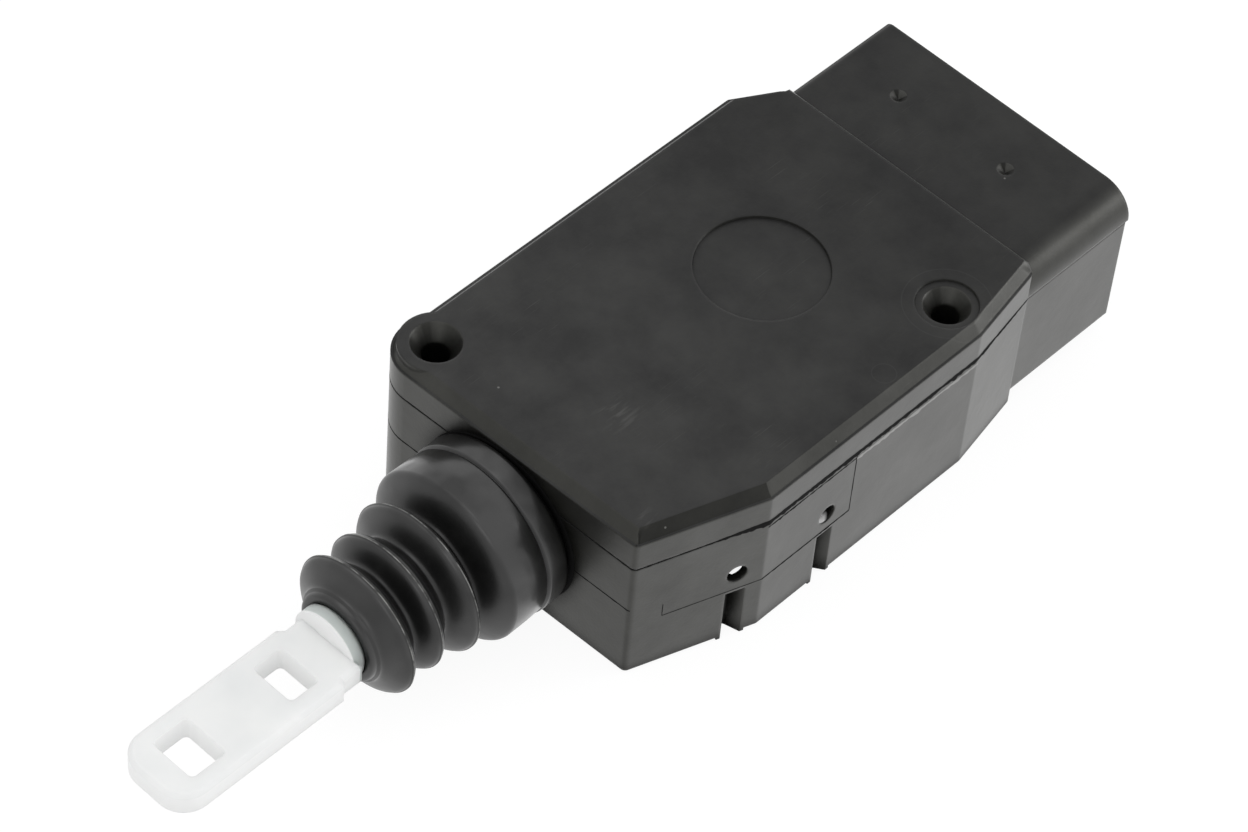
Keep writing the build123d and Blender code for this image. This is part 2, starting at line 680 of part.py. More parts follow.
# Upper half of the housing
with BuildPart() as housing_cover:
    with BuildSketch(Plane.XY.offset(parting_z)):
        add(plan.sketch)
    extrude(amount=skirt_top_z - parting_z)
    with BuildSketch(Plane.XY.offset(skirt_top_z)):
        add(top_plan.sketch)
    with BuildSketch(Plane.XY.offset(housing_height)):
        add(top_plan.sketch)
        offset(amount=-top_bevel, mode=Mode.REPLACE)
    loft(ruled=True)
    with BuildSketch(Plane.XY.offset(skirt_top_z)):
        with Locations(front_hole):
            Circle(pad_radius)
    extrude(amount=housing_height - skirt_top_z)
    with BuildSketch(Plane.XY.offset(parting_z)):
        with Locations((x_rear, 0)):
            Rectangle(body_length, 3 * body_half_width, align=(Align.MIN, Align.CENTER))
    extrude(amount=housing_height, mode=Mode.SUBTRACT)
    chamfer(
        housing_cover.edges().filter_by(Axis.Y).group_by(Axis.X)[-1].sort_by(Axis.Z)[-1],
        length=rear_edge,
    )
    # Upper half of the socket shroud
    with BuildSketch(facing(x_rear - wall)) as shroud_section:
        with Locations((rear_near_y, parting_z)):
            Rectangle(
                shroud_far_y - rear_near_y, shroud_top_z - parting_z, align=(Align.MIN, Align.MIN)
            )
        fillet(shroud_section.vertices().group_by(Axis.Y)[-1].sort_by(Axis.X)[0], shroud_near_radius)
        fillet(shroud_section.vertices().group_by(Axis.Y)[-1].sort_by(Axis.X)[-1], shroud_far_radius)
    extrude(amount=shroud_length + wall)
    with BuildSketch(facing(x_rear)):
        add(shroud_section.sketch_local)
        offset(amount=-shroud_wall, mode=Mode.REPLACE)
    extrude(amount=shroud_length, mode=Mode.SUBTRACT)
    with BuildSketch(facing(x_rear)):
        with Locations((rear_near_y + shroud_wall, parting_z - wall)):
            Rectangle(
                shroud_far_y - rear_near_y - 2 * shroud_wall, 2 * wall, align=(Align.MIN, Align.MIN)
            )
    extrude(amount=shroud_length, mode=Mode.SUBTRACT)
    with Locations(*[(x_rear + x, y, shroud_top_z - dimple_depth / 2) for x, y in dimple_places]):
        Cone(dimple_floor, dimple_radius, dimple_depth, mode=Mode.SUBTRACT)
    # Hollow, with screw towers, motor cradles and keepers for the axles
    with BuildSketch(Plane.XY.offset(parting_z)):
        add(inner_plan.sketch)
    extrude(amount=roof_z - parting_z, mode=Mode.SUBTRACT)
    with BuildSketch(Plane.XY.offset(parting_z)):
        add(rim_band(rim_clearance))
    extrude(amount=rim_height + rim_clearance, mode=Mode.SUBTRACT)
    with BuildSketch(Plane.XY.offset(parting_z)):
        with Locations(front_hole, rear_hole):
            Circle(tower_radius)
    extrude(amount=(roof_z + housing_height) / 2 - parting_z)
    for cradle_y in cradle_ys:
        with BuildSketch(upright(cradle_y)):
            with Locations((motor_x, (roof_z + housing_height) / 2)):
                Rectangle(2 * motor_flat, cradle_reach, align=(Align.CENTER, Align.MAX))
            with Locations((motor_x, gear_z)):
                add(can_seat, mode=Mode.SUBTRACT)
        extrude(amount=-cradle_thickness)
    for x, radius, near_y, boss_y in axle_places:
        keeper_z = gear_z + radius + axle_gap
        with BuildSketch(Plane.XY.offset(keeper_z)):
            with Locations((x, near_y + post_thickness / 2)):
                Rectangle(2 * radius - axle_gap, post_thickness)
            with Locations((x, (boss_y + far_inner_y - end_gap) / 2)):
                Rectangle(2 * radius - axle_gap, far_inner_y - end_gap - boss_y)
        extrude(amount=(roof_z + housing_height) / 2 - keeper_z)
    # The bore for the guide bush, which reaches the cover where the housing is lower
    with BuildSketch(facing(x_front)):
        with Locations((plunger_y, plunger_z)):
            Circle(neck_bore_radius)
    extrude(amount=buffer_front_x - x_front, mode=Mode.SUBTRACT)
    # Countersunk screw holes and the marks on the top
    with Locations((*front_hole, housing_height), (*rear_hole, housing_height)):
        CounterSinkHole(screw_radius, sink_radius, counter_sink_angle=sink_angle)
    with BuildSketch(Plane.XY.offset(housing_height - ring_depth)):
        with Locations(rear_hole):
            Circle(ring_radius)
    extrude(amount=ring_depth, mode=Mode.SUBTRACT)
    with BuildSketch(Plane.XY.offset(housing_height - disc_depth)):
        with Locations((x_front + disc_reach, disc_y)):
            Circle(disc_radius)
    extrude(amount=disc_depth, mode=Mode.SUBTRACT)
save(housing_cover, "housing_cover")


def station(reach, radius):
    """A point of a turned profile: a reach in front of the housing's corner, at a radius."""
    return (x_front - reach, plunger_z + radius)


def is_station(vertex, places):
    """Whether a vertex of a turned profile is at one of some pairs of a reach and a radius."""
    here = (x_front - vertex.X, vertex.Y - plunger_z)
    return any(hypot(here[0] - reach, here[1] - radius) < rubber / 2 for reach, radius in places)


plunger_axis = Axis((x_front, plunger_y, plunger_z), (-1, 0, 0))

# The rack's teeth, as corner points from its cut-off rear end forwards
rack_teeth = [(rack_end_x, rack_pitch_z)]
for step in range(rack_tooth_count):
    middle = output_x + (rack_teeth_behind - step) * rack_pitch
    root_half = half_tooth + (rack_pitch_z - rack_root_z) * tan(pressure_angle)
    tip_half = half_tooth - (rack_tip_z - rack_pitch_z) * tan(pressure_angle)
    if step:
        rack_teeth.append((middle + root_half, rack_root_z))
    rack_teeth.append((middle + tip_half, rack_tip_z))
    rack_teeth.append((middle - tip_half, rack_tip_z))
    rack_teeth.append((middle - root_half, rack_root_z))

# Rubber bellows, with its collar over the neck and its lip in the plunger's groove
with BuildPart() as bellows:
    with BuildSketch(upright(plunger_y)) as bellows_profile:
        with BuildLine():
            Polyline(
                station(collar_back, collar_radius),
                station(collar_shoulder, collar_radius),
                *[station(reach, radius) for reach, radius in folds],
                station(lip_reach - lip_length, lip_radius + rubber / 2),
                station(lip_reach, lip_radius),
                station(lip_reach, groove_floor),
                station(lip_reach - lip_length, groove_floor),
                station(lip_reach - lip_length, stem_radius + slide_clearance),
                *[station(reach, radius - rubber) for reach, radius in reversed(folds)],
                station(neck_length + slide_clearance, neck_radius + seat_clearance),
                station(collar_back, neck_radius + seat_clearance),
                close=True,
            )
        make_face()
        outer = bellows_profile.vertices()
        chamfer(outer.filter_by(lambda v: is_station(v, folds[1::2])), length=fold_blunt)
        outer = bellows_profile.vertices()
        chamfer(
            outer.filter_by(lambda v: is_station(v, [(collar_shoulder, collar_radius)])),
            length=shoulder_blunt,
        )
    revolve(axis=plunger_axis)
save(bellows, "bellows")

# Guide bush in the neck, notched so that it passes over the blade
with BuildPart() as guide_bush:
    with BuildSketch(facing(x_front - neck_length + neck_lip_length)):
        with Locations((plunger_y, plunger_z)):
            Circle(neck_bore_radius - seat_clearance)
            Circle(stem_radius + running_clearance, mode=Mode.SUBTRACT)
        with Locations((blade_y, plunger_z)):
            Rectangle(
                blade_width + 2 * slide_clearance, blade_thickness + 2 * slide_clearance,
                mode=Mode.SUBTRACT,
            )
    extrude(amount=buffer_front_x - x_front + neck_length - neck_lip_length)
save(guide_bush, "guide_bush")

# Plunger: a flat blade with two slots, a round stem, a block and a rack
with BuildPart() as plunger:
    with BuildSketch(Plane.XY.offset(plunger_z - blade_thickness / 2)) as blade:
        with Locations((x_front - blade_reach, blade_y)):
            Rectangle(
                blade_reach - shoulder_reach, blade_width, align=(Align.MIN, Align.CENTER)
            )
        fillet(blade.vertices().group_by(Axis.X)[0], radius=blade_corner)
        chamfer(blade.vertices().group_by(Axis.X)[-1], length=(blade_width - blade_root) / 2)
        with Locations((x_front - stem_reach + stem_edge, blade_y)):
            Rectangle(
                shoulder_reach - stem_reach + 2 * stem_edge, blade_root,
                align=(Align.MAX, Align.CENTER),
            )
    extrude(amount=blade_thickness)
    chamfer(plunger.faces().filter_by(Axis.Z).edges(), length=blade_edge)
    with BuildSketch(facing(x_front - stem_reach)):
        with Locations((plunger_y, plunger_z)):
            Circle(stem_radius)
    extrude(amount=block_x + stem_reach - x_front + block_length / 2)
    with BuildSketch(facing(x_front - lip_reach - end_gap)):
        with Locations((plunger_y, plunger_z)):
            Circle(2 * stem_radius)
            Circle(stem_radius - lip_groove_depth, mode=Mode.SUBTRACT)
    extrude(amount=lip_length + 2 * end_gap, mode=Mode.SUBTRACT)
    with BuildSketch(Plane.XY.offset(plunger_z - blade_thickness / 2)) as slot_plan:
        for reach, length, width in slots:
            with Locations((x_front - reach, blade_y)):
                Rectangle(length, width)
        fillet(slot_plan.vertices(), radius=slot_corner)
    extrude(amount=blade_thickness, mode=Mode.SUBTRACT)
    with BuildSketch(facing(block_x)) as block:
        with Locations((plunger_y, rack_bottom_z)):
            Rectangle(block_width, block_height, align=(Align.CENTER, Align.MIN))
        fillet(block.vertices(), radius=block_corner)
    extrude(amount=block_length)
    with BuildSketch(upright(plunger_y - rack_half_width)):
        with BuildLine():
            Polyline(
                (block_x, rack_bottom_z),
                (rack_end_x, rack_bottom_z),
                *rack_teeth,
                (block_x, rack_root_z),
                close=True,
            )
        make_face()
    extrude(amount=-2 * rack_half_width)
save(plunger, "plunger")

# Rubber buffers at both ends of the travel
with BuildPart() as front_buffer:
    with BuildSketch(facing(buffer_front_x)):
        with Locations((plunger_y, plunger_z)):
            Circle(neck_bore_radius - slide_clearance)
            Circle(stem_radius + slide_clearance, mode=Mode.SUBTRACT)
    extrude(amount=buffer_length)
save(front_buffer, "front_buffer")

with BuildPart() as rear_buffers:
    with BuildSketch(Plane.XY.offset(buffer_bottom_z)) as pads:
        with Locations(*buffer_posts):
            Rectangle(buffer_pad, buffer_width, align=(Align.MAX, Align.CENTER))
    extrude(amount=buffer_top_z - buffer_bottom_z)
save(rear_buffers, "rear_buffers")


# Intermediate gear and its axle
with BuildPart() as intermediate_gear:
    with BuildSketch(upright(idler_gear_y)):
        with Locations((idler_x, gear_z)):
            Polygon(*gear_outline(fine_module, wheel_teeth, pi / wheel_teeth), align=None)
    extrude(amount=-gear_width)
    with BuildSketch(upright(idler_gear_y)):
        with Locations((idler_x, gear_z)):
            Polygon(*gear_outline(fine_module, small_teeth, pi), align=None)
    extrude(amount=small_gear_length)
    with BuildSketch(upright(idler_gear_y + gear_width)):
        with Locations((idler_x, gear_z)):
            Circle(wheel_rim_radius)
            Circle(wheel_hub_radius, mode=Mode.SUBTRACT)
    extrude(amount=web_depth, mode=Mode.SUBTRACT)
    with BuildSketch(upright(idler_gear_y + gear_width)):
        with Locations((idler_x, gear_z)):
            Circle(idler_axle_radius + axle_gap)
    extrude(amount=gear_width + small_gear_length, mode=Mode.SUBTRACT)
save(intermediate_gear, "intermediate_gear")

# Output gear, with the pinion that drives the rack
with BuildPart() as output_gear:
    with BuildSketch(upright(output_gear_y)):
        with Locations((output_x, gear_z)):
            Polygon(*gear_outline(fine_module, wheel_teeth, pi / wheel_teeth), align=None)
    extrude(amount=-gear_width)
    with BuildSketch(upright(output_gear_y + web_depth)):
        with Locations((output_x, gear_z)):
            Circle(wheel_rim_radius)
            Circle(output_hub_radius, mode=Mode.SUBTRACT)
    extrude(amount=web_depth, mode=Mode.SUBTRACT)
    with BuildSketch(upright(output_gear_y)):
        with Locations((output_x, gear_z)):
            Circle(output_hub_radius)
    extrude(amount=output_gear_y - plunger_y - rack_half_width)
    with BuildSketch(upright(plunger_y + rack_half_width)):
        with Locations((output_x, gear_z)):
            Polygon(*gear_outline(rack_module, rack_pinion_teeth, -pi / 2), align=None)
    extrude(amount=2 * rack_half_width)
    with BuildSketch(upright(output_gear_y + gear_width)):
        with Locations((output_x, gear_z)):
            Circle(output_axle_radius + axle_gap)
    extrude(amount=output_gear_y + gear_width - rack_pinion_y, mode=Mode.SUBTRACT)
save(output_gear, "output_gear")

# Steel axles, lying in their posts and bosses
with BuildPart() as intermediate_axle:
    x, radius, near_y, boss_y = axle_places[0]
    with BuildSketch(upright(near_y)):
        with Locations((x, gear_z)):
            Circle(radius)
    extrude(amount=near_y - far_inner_y + end_gap)
    chamfer(intermediate_axle.edges().filter_by(GeomType.CIRCLE), length=axle_chamfer)
save(intermediate_axle, "intermediate_axle")

with BuildPart() as output_axle:
    x, radius, near_y, boss_y = axle_places[1]
    with BuildSketch(upright(near_y)):
        with Locations((x, gear_z)):
            Circle(radius)
    extrude(amount=near_y - far_inner_y + end_gap)
    chamfer(output_axle.edges().filter_by(GeomType.CIRCLE), length=axle_chamfer)
save(output_axle, "output_axle")

# Motor can, closed at its far end, with a boss for a bearing
with BuildPart() as motor_can:
    with BuildSketch(upright(motor_near_y)):
        with Locations((motor_x, gear_z)):
            add(can_section(0))
    extrude(amount=motor_near_y - motor_far_y)
    with BuildSketch(upright(motor_near_y)):
        with Locations((motor_x, gear_z)):
            add(can_section(can_wall))
    extrude(amount=motor_near_y - motor_far_y + can_wall, mode=Mode.SUBTRACT)
    with BuildSketch(upright(motor_far_y - can_wall)):
        with Locations((motor_x, gear_z)):
            Circle(hub_radius)
    extrude(amount=-can_wall - hub_length)
    with BuildSketch(upright(motor_far_y - can_wall)):
        with Locations((motor_x, gear_z)):
            Circle(bearing_radius)
    extrude(amount=-can_wall - hub_length, mode=Mode.SUBTRACT)
save(motor_can, "motor_can")

# Moulded cap that closes the can's near end and holds the brushes
with BuildPart() as motor_end_cap:
    with BuildSketch(upright(motor_near_y)):
        with Locations((motor_x, gear_z)):
            add(can_section(can_wall + seat_clearance))
    extrude(amount=-cap_thickness)
    with BuildSketch(upright(motor_near_y)):
        with Locations((motor_x, gear_z)):
            Circle(hub_radius)
    extrude(amount=hub_length)
    with BuildSketch(upright(motor_near_y - hub_length)):
        with Locations((motor_x, gear_z)):
            Circle(bearing_radius)
    extrude(amount=-hub_length - cap_thickness, mode=Mode.SUBTRACT)
    with BuildSketch(upright(motor_near_y + cap_thickness)):
        for side in (-1, 1):
            with Locations((motor_x + side * brush_middle, gear_z)):
                Rectangle(brush_length, brush_height + 2 * holder_wall)
                Rectangle(brush_length, brush_height + 2 * seat_clearance, mode=Mode.SUBTRACT)
    extrude(amount=-brush_width)
save(motor_end_cap, "motor_end_cap")

with BuildPart() as motor_bearings:
    for y, length in (
        (motor_near_y - hub_length, hub_length + cap_thickness),
        (motor_far_y - can_wall, can_wall + hub_length),
    ):
        with BuildSketch(upright(y)):
            with Locations((motor_x, gear_z)):
                Circle(bearing_radius)
                Circle(shaft_radius + bearing_clearance, mode=Mode.SUBTRACT)
        extrude(amount=-length)
save(motor_bearings, "motor_bearings")

with BuildPart() as motor_magnets:
    with BuildSketch(upright(magnet_y)):
        with Locations((motor_x, gear_z)):
            Circle(motor_radius - can_wall)
            Circle(magnet_radius, mode=Mode.SUBTRACT)
            Rectangle(magnet_width, 2 * motor_radius, mode=Mode.INTERSECT)
    extrude(amount=-magnet_length)
save(motor_magnets, "motor_magnets")

# Turning parts of the motor
with BuildPart() as motor_shaft:
    with BuildSketch(upright(motor_near_y - hub_length + end_gap)):
        with Locations((motor_x, gear_z)):
            Circle(shaft_radius)
    extrude(amount=motor_near_y - hub_length + end_gap - shaft_end_y)
save(motor_shaft, "motor_shaft")

with BuildPart() as armature_core:
    with BuildSketch(upright(core_y)) as core_section:
        with Locations((motor_x, gear_z)):
            Circle(core_radius)
            Circle(shoe_radius, mode=Mode.SUBTRACT)
            with PolarLocations(0, pole_count, 90 + 180 / pole_count):
                Rectangle(
                    2 * core_radius, slot_mouth, align=(Align.MIN, Align.CENTER),
                    mode=Mode.SUBTRACT,
                )
            with PolarLocations(0, pole_count, 90):
                Rectangle(
                    (shoe_radius + core_radius) / 2, pole_width, align=(Align.MIN, Align.CENTER)
                )
            Circle(core_hub_radius)
            Circle(shaft_radius, mode=Mode.SUBTRACT)
    extrude(amount=-core_length)
save(armature_core, "armature_core")

with BuildPart() as armature_windings:
    with BuildSketch(upright(core_y - winding_end)):
        with Locations((motor_x, gear_z)):
            with PolarLocations(winding_start, pole_count, 90):
                Rectangle(shoe_radius - winding_start, winding_width,
                          align=(Align.MIN, Align.CENTER))
            Circle(shoe_radius - seat_clearance, mode=Mode.INTERSECT)
    extrude(amount=-core_length - 2 * winding_end)
    with BuildSketch(upright(core_y - seat_clearance)):
        with Locations((motor_x, gear_z)):
            with PolarLocations(0, pole_count, 90):
                Rectangle(core_radius, pole_width + 2 * seat_clearance,
                          align=(Align.MIN, Align.CENTER))
    extrude(amount=-core_length - 2 * seat_clearance, mode=Mode.SUBTRACT)
save(armature_windings, "armature_windings")

with BuildPart() as commutator:
    with BuildSketch(upright(commutator_y)):
        with Locations((motor_x, gear_z)):
            Circle(commutator_radius)
            with PolarLocations(0, pole_count, 90):
                Rectangle(
                    2 * commutator_radius, commutator_slot, align=(Align.MIN, Align.CENTER),
                    mode=Mode.SUBTRACT,
                )
            Circle(commutator_core_radius)
            Circle(shaft_radius, mode=Mode.SUBTRACT)
    extrude(amount=-commutator_length)
save(commutator, "commutator")

with BuildPart() as brushes:
    with BuildSketch(upright(motor_near_y + cap_thickness)):
        with Locations((motor_x, gear_z)):
            for side in (-1, 1):
                with Locations((side * brush_middle, 0)):
                    Rectangle(brush_length, brush_height)
            Circle(commutator_radius + seat_clearance, mode=Mode.SUBTRACT)
    extrude(amount=-brush_width)
save(brushes, "brushes")

with BuildPart() as motor_pinion:
    with BuildSketch(upright(idler_gear_y - end_gap)):
        with Locations((motor_x, gear_z)):
            Polygon(*gear_outline(fine_module, motor_teeth, pi), align=None)
            Circle(shaft_radius, mode=Mode.SUBTRACT)
    extrude(amount=-gear_width - 2 * end_gap)
save(motor_pinion, "motor_pinion")

# Contact board with its tracks, and the wiper on the plunger's block
with BuildPart() as contact_board:
    with BuildSketch(Plane.XY.offset(floor_thickness)):
        with Locations((board_x, board_y)):
            Rectangle(board_length, board_thickness, align=(Align.MIN, Align.MAX))
    extrude(amount=board_top_z - floor_thickness)
save(contact_board, "contact_board")

with BuildPart() as contact_tracks:
    with BuildSketch(upright(board_y + track_thickness)):
        for z in track_zs:
            with Locations((board_x + track_inset, z)):
                Rectangle(
                    board_length - 2 * track_inset, track_height, align=(Align.MIN, Align.CENTER)
                )
    extrude(amount=track_thickness)
save(contact_tracks, "contact_tracks")

wiper_x = block_x + wiper_inset
wiper_base_y = plunger_y - block_width / 2
wiper_tip_y = board_y + track_thickness + wiper_gap
with BuildPart() as contact_wiper:
    with BuildSketch(Plane.XY.offset(track_zs[0] - finger_height / 2)):
        with BuildLine():
            Polyline(
                (wiper_x, wiper_base_y),
                (wiper_x, wiper_base_y - strip_thickness),
                (wiper_x + wiper_foot, wiper_base_y - strip_thickness),
                (wiper_x + wiper_foot + wiper_slope, wiper_tip_y),
                (wiper_x + wiper_length, wiper_tip_y),
                (wiper_x + wiper_length, wiper_tip_y + strip_thickness),
                (wiper_x + wiper_foot + wiper_slope + wiper_bend, wiper_tip_y + strip_thickness),
                (wiper_x + wiper_foot + wiper_bend, wiper_base_y),
                close=True,
            )
        make_face()
    extrude(amount=track_zs[-1] - track_zs[0] + finger_height)
    with BuildSketch(upright(wiper_base_y)):
        for lower, upper in zip(track_zs, track_zs[1:]):
            with Locations((wiper_x + wiper_foot, (lower + upper) / 2)):
                Rectangle(
                    2 * block_width, upper - lower - finger_height, align=(Align.MIN, Align.CENTER)
                )
    extrude(amount=block_width, both=True, mode=Mode.SUBTRACT)
save(contact_wiper, "contact_wiper")

# Terminals, their carrier and the strips that lead to them
with BuildPart() as terminal_carrier:
    with BuildSketch(facing(carrier_x)):
        with Locations((terminal_middle_y, (floor_thickness + parting_z) / 2)):
            Rectangle(carrier_width, parting_z - floor_thickness - end_gap)
        with Locations(*[(y, terminal_z) for y in terminal_ys]):
            Rectangle(terminal_width, terminal_thickness, mode=Mode.SUBTRACT)
    extrude(amount=carrier_thickness)
save(terminal_carrier, "terminal_carrier")

with BuildPart() as terminal_blades:
    with BuildSketch(Plane.XY.offset(terminal_z - terminal_thickness / 2)) as blade_plan:
        for y in terminal_ys:
            with Locations((carrier_x, y)):
                Rectangle(
                    carrier_thickness + wall + terminal_reach, terminal_width,
                    align=(Align.MIN, Align.CENTER),
                )
        chamfer(blade_plan.vertices().group_by(Axis.X)[-1], length=terminal_corner)
    extrude(amount=terminal_thickness)
save(terminal_blades, "terminal_blades")

with BuildPart() as motor_straps:
    strap_y = motor_near_y - hub_length - strip_thickness
    for z in strap_zs:
        with BuildSketch(Plane.XY.offset(z)):
            with Locations((strap_x, motor_near_y)):
                Rectangle(strip_thickness, motor_near_y - strap_y, align=(Align.MIN, Align.MAX))
            with Locations((strap_x, strap_y)):
                Rectangle(carrier_x - strap_x, strip_thickness, align=(Align.MIN, Align.MAX))
        extrude(amount=strap_height)
save(motor_straps, "motor_straps")

with BuildPart() as switch_leads:
    lead_start_y = board_y - board_thickness
    for z in lead_zs:
        with BuildSketch(Plane.XY.offset(z)):
            with BuildLine():
                Polyline(
                    (lead_x, lead_start_y),
                    (board_x + board_length, lead_start_y),
                    (lead_bend_x, lead_y + strip_thickness),
                    (carrier_x, lead_y + strip_thickness),
                    (carrier_x, lead_y),
                    (lead_bend_x, lead_y),
                    (board_x + board_length, lead_start_y - strip_thickness),
                    (lead_x, lead_start_y - strip_thickness),
                    close=True,
                )
            make_face()
        extrude(amount=lead_height)
save(switch_leads, "switch_leads")

with BuildPart() as thermistor:
    with BuildSketch(upright(strap_y - strip_thickness)):
        with Locations((thermistor_x, strap_zs[-1] + strap_height / 2)):
            Circle(thermistor_radius)
    extrude(amount=thermistor_thickness)
save(thermistor, "thermistor")
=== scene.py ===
"""Dresses the door latch actuator: its bellows, seams, finishes, camera and light. Lengths are in metres."""
import math

import bmesh
import bpy
from mathutils import Matrix, Vector, noise


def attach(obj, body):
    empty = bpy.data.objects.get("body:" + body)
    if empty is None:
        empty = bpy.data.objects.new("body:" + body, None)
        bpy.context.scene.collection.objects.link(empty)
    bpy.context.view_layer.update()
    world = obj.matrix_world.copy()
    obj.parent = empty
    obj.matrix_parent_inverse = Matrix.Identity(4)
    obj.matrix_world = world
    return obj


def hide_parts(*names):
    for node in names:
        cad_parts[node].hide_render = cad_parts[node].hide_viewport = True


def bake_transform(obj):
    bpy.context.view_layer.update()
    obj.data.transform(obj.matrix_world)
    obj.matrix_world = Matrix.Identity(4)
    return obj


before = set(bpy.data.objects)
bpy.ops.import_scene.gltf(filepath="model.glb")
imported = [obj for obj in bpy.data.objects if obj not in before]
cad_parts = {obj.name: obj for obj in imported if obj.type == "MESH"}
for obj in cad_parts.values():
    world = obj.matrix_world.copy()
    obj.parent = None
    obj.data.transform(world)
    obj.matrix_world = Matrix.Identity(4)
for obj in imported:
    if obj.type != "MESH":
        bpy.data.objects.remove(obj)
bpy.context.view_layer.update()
mm = 0.001

# Places that the CAD gives: the plunger's axis, the near wall, and the housing's front corner,
# parting, lower edge of the bevel and top
axis_y = 3.0 * mm
axis_z = 13.5 * mm
near_wall_y = -27.0 * mm
front_x = -37.4 * mm
parting_z = 22.3 * mm
bevel_foot_z = 27.2 * mm
top_z = 29.0 * mm

# The stem of the plunger is greyer than the blade, from here on towards the housing
stem_front_x = -70.65 * mm

# The part of the rear side hole's bore that gets painted light as a pale patch, and where it starts inside
# the wall
bore_painted_light_middle = (-6.35 * mm, -26.0 * mm, 13.4 * mm)
bore_painted_light_radius = 1.9 * mm
bore_painted_light_start = -26.85 * mm

# Rings left by the mould on the top, and rubbed patches, as place and radius
moulded_rings = [((7.4 * mm, -23.3 * mm, top_z), 1.7 * mm), ((23.1 * mm, -20.8 * mm, top_z), 6.3 * mm)]
scuffs = [((-24.0 * mm, -4.0 * mm, top_z), 4 * mm), ((-34.0 * mm, -18.6 * mm, top_z), 2 * mm)]


# Materials

class Shader:
    """A node material under construction, with short calls for the nodes that are used here."""

    def __init__(self, name):
        self.material = bpy.data.materials.new(name)
        self.material.use_nodes = True
        self.tree = self.material.node_tree
        self.surface = self.tree.nodes["Principled BSDF"]
        self.place = self.node("ShaderNodeTexCoord").outputs["Object"]

    def node(self, kind, **settings):
        made = self.tree.nodes.new(kind)
        for key, value in settings.items():
            setattr(made, key, value)
        return made

    def put(self, value, socket):
        """Links a value that comes from a node, or sets one that is a number or a colour."""
        if isinstance(value, bpy.types.NodeSocket):
            self.tree.links.new(value, socket)
        else:
            socket.default_value = value

    def set(self, **values):
        """Puts values in the material's own sockets, whose names have spaces for underscores."""
        for key, value in values.items():
            self.put(value, self.surface.inputs[key.replace("_", " ")])
        return self.material

    def math(self, operation, first, second=0.0):
        made = self.node("ShaderNodeMath", operation=operation)
        self.put(first, made.inputs[0])
        self.put(second, made.inputs[1])
        return made.outputs[0]

    def times(self, first, second):
        return self.math("MULTIPLY", first, second)

    def most(self, first, second):
        return self.math("MAXIMUM", first, second)

    def range(self, value, low, high, to_low=0.0, to_high=1.0):
        """Takes a number from one range to another, and holds it at the ends."""
        made = self.node("ShaderNodeMapRange")
        self.put(value, made.inputs["Value"])
        for key, number in zip(("From Min", "From Max", "To Min", "To Max"), (low, high, to_low, to_high)):
            self.put(number, made.inputs[key])
        return made.outputs["Result"]

    def between(self, share, first, second):
        """The number that lies a share of the way from the first to the second."""
        return self.range(share, 0.0, 1.0, first, second)

    def mix(self, share, first, second):
        """The colour that lies a share of the way from the first to the second."""
        made = self.node("ShaderNodeMix", data_type="RGBA")
        self.put(share, made.inputs["Factor"])
        self.put(first, made.inputs["A"])
        self.put(second, made.inputs["B"])
        return made.outputs["Result"]

    def separate(self, vector):
        made = self.node("ShaderNodeSeparateXYZ")
        self.put(vector, made.inputs[0])
        return made.outputs

    def facing(self):
        """The direction that the face points in, as x, y and z."""
        return self.separate(self.node("ShaderNodeNewGeometry").outputs["Normal"])

    def stretched(self, scale, turn=0.0):
        """Coordinates scaled along x, y and z, and turned about z."""
        made = self.node("ShaderNodeMapping")
        made.inputs["Scale"].default_value = scale
        made.inputs["Rotation"].default_value = (0, 0, turn)
        self.put(self.place, made.inputs["Vector"])
        return made.outputs[0]

    def noise(self, scale=1.0, detail=2.0, vector=None, rough=0.5):
        made = self.node("ShaderNodeTexNoise")
        made.inputs["Scale"].default_value = scale
        made.inputs["Detail"].default_value = detail
        made.inputs["Roughness"].default_value = rough
        self.put(vector or self.place, made.inputs["Vector"])
        return made.outputs["Fac"]

    def spots(self, scale, size, share):
        """Small round spots, of which only a share shows, as a mask."""
        made = self.node("ShaderNodeTexVoronoi")
        made.inputs["Scale"].default_value = scale
        self.put(self.place, made.inputs["Vector"])
        near = self.range(made.outputs["Distance"], size, size * 0.6)
        picked = self.math("LESS_THAN", self.separate(made.outputs["Color"])[0], share)
        return self.times(near, picked)

    def ring(self, place, radius, width):
        """A thin ring about a place, as a mask. At radius 0 it is a patch that fades outwards."""
        away = self.node("ShaderNodeVectorMath", operation="DISTANCE")
        self.put(self.place, away.inputs[0])
        away.inputs[1].default_value = place
        off = self.math("ABSOLUTE", self.math("SUBTRACT", away.outputs["Value"], radius))
        return self.range(off, width, 0.0)

    def painted_crevice_shade(self, distance):
        """How open a place is: 1 on an open face, less in a crevice; it is used to paint shade into
        crevices.
        """
        made = self.node("ShaderNodeAmbientOcclusion", samples=6)
        made.inputs["Distance"].default_value = distance
        return made.outputs["AO"]

    def rounded(self, radius):
        """The normal of edges that are rounded off."""
        made = self.node("ShaderNodeBevel", samples=6)
        made.inputs["Radius"].default_value = radius
        return made.outputs["Normal"]

    def bump(self, height, depth, strength, normal=None):
        made = self.node("ShaderNodeBump")
        made.inputs["Strength"].default_value = strength
        made.inputs["Distance"].default_value = depth
        self.put(height, made.inputs["Height"])
        if normal:
            self.put(normal, made.inputs["Normal"])
        return made.outputs["Normal"]


def grey(level, tint=(1.0, 1.0, 1.0)):
    return (level * tint[0], level * tint[1], level * tint[2], 1.0)


def darker(colour, share):
    return tuple(part * share for part in colour[:3]) + (1.0,)


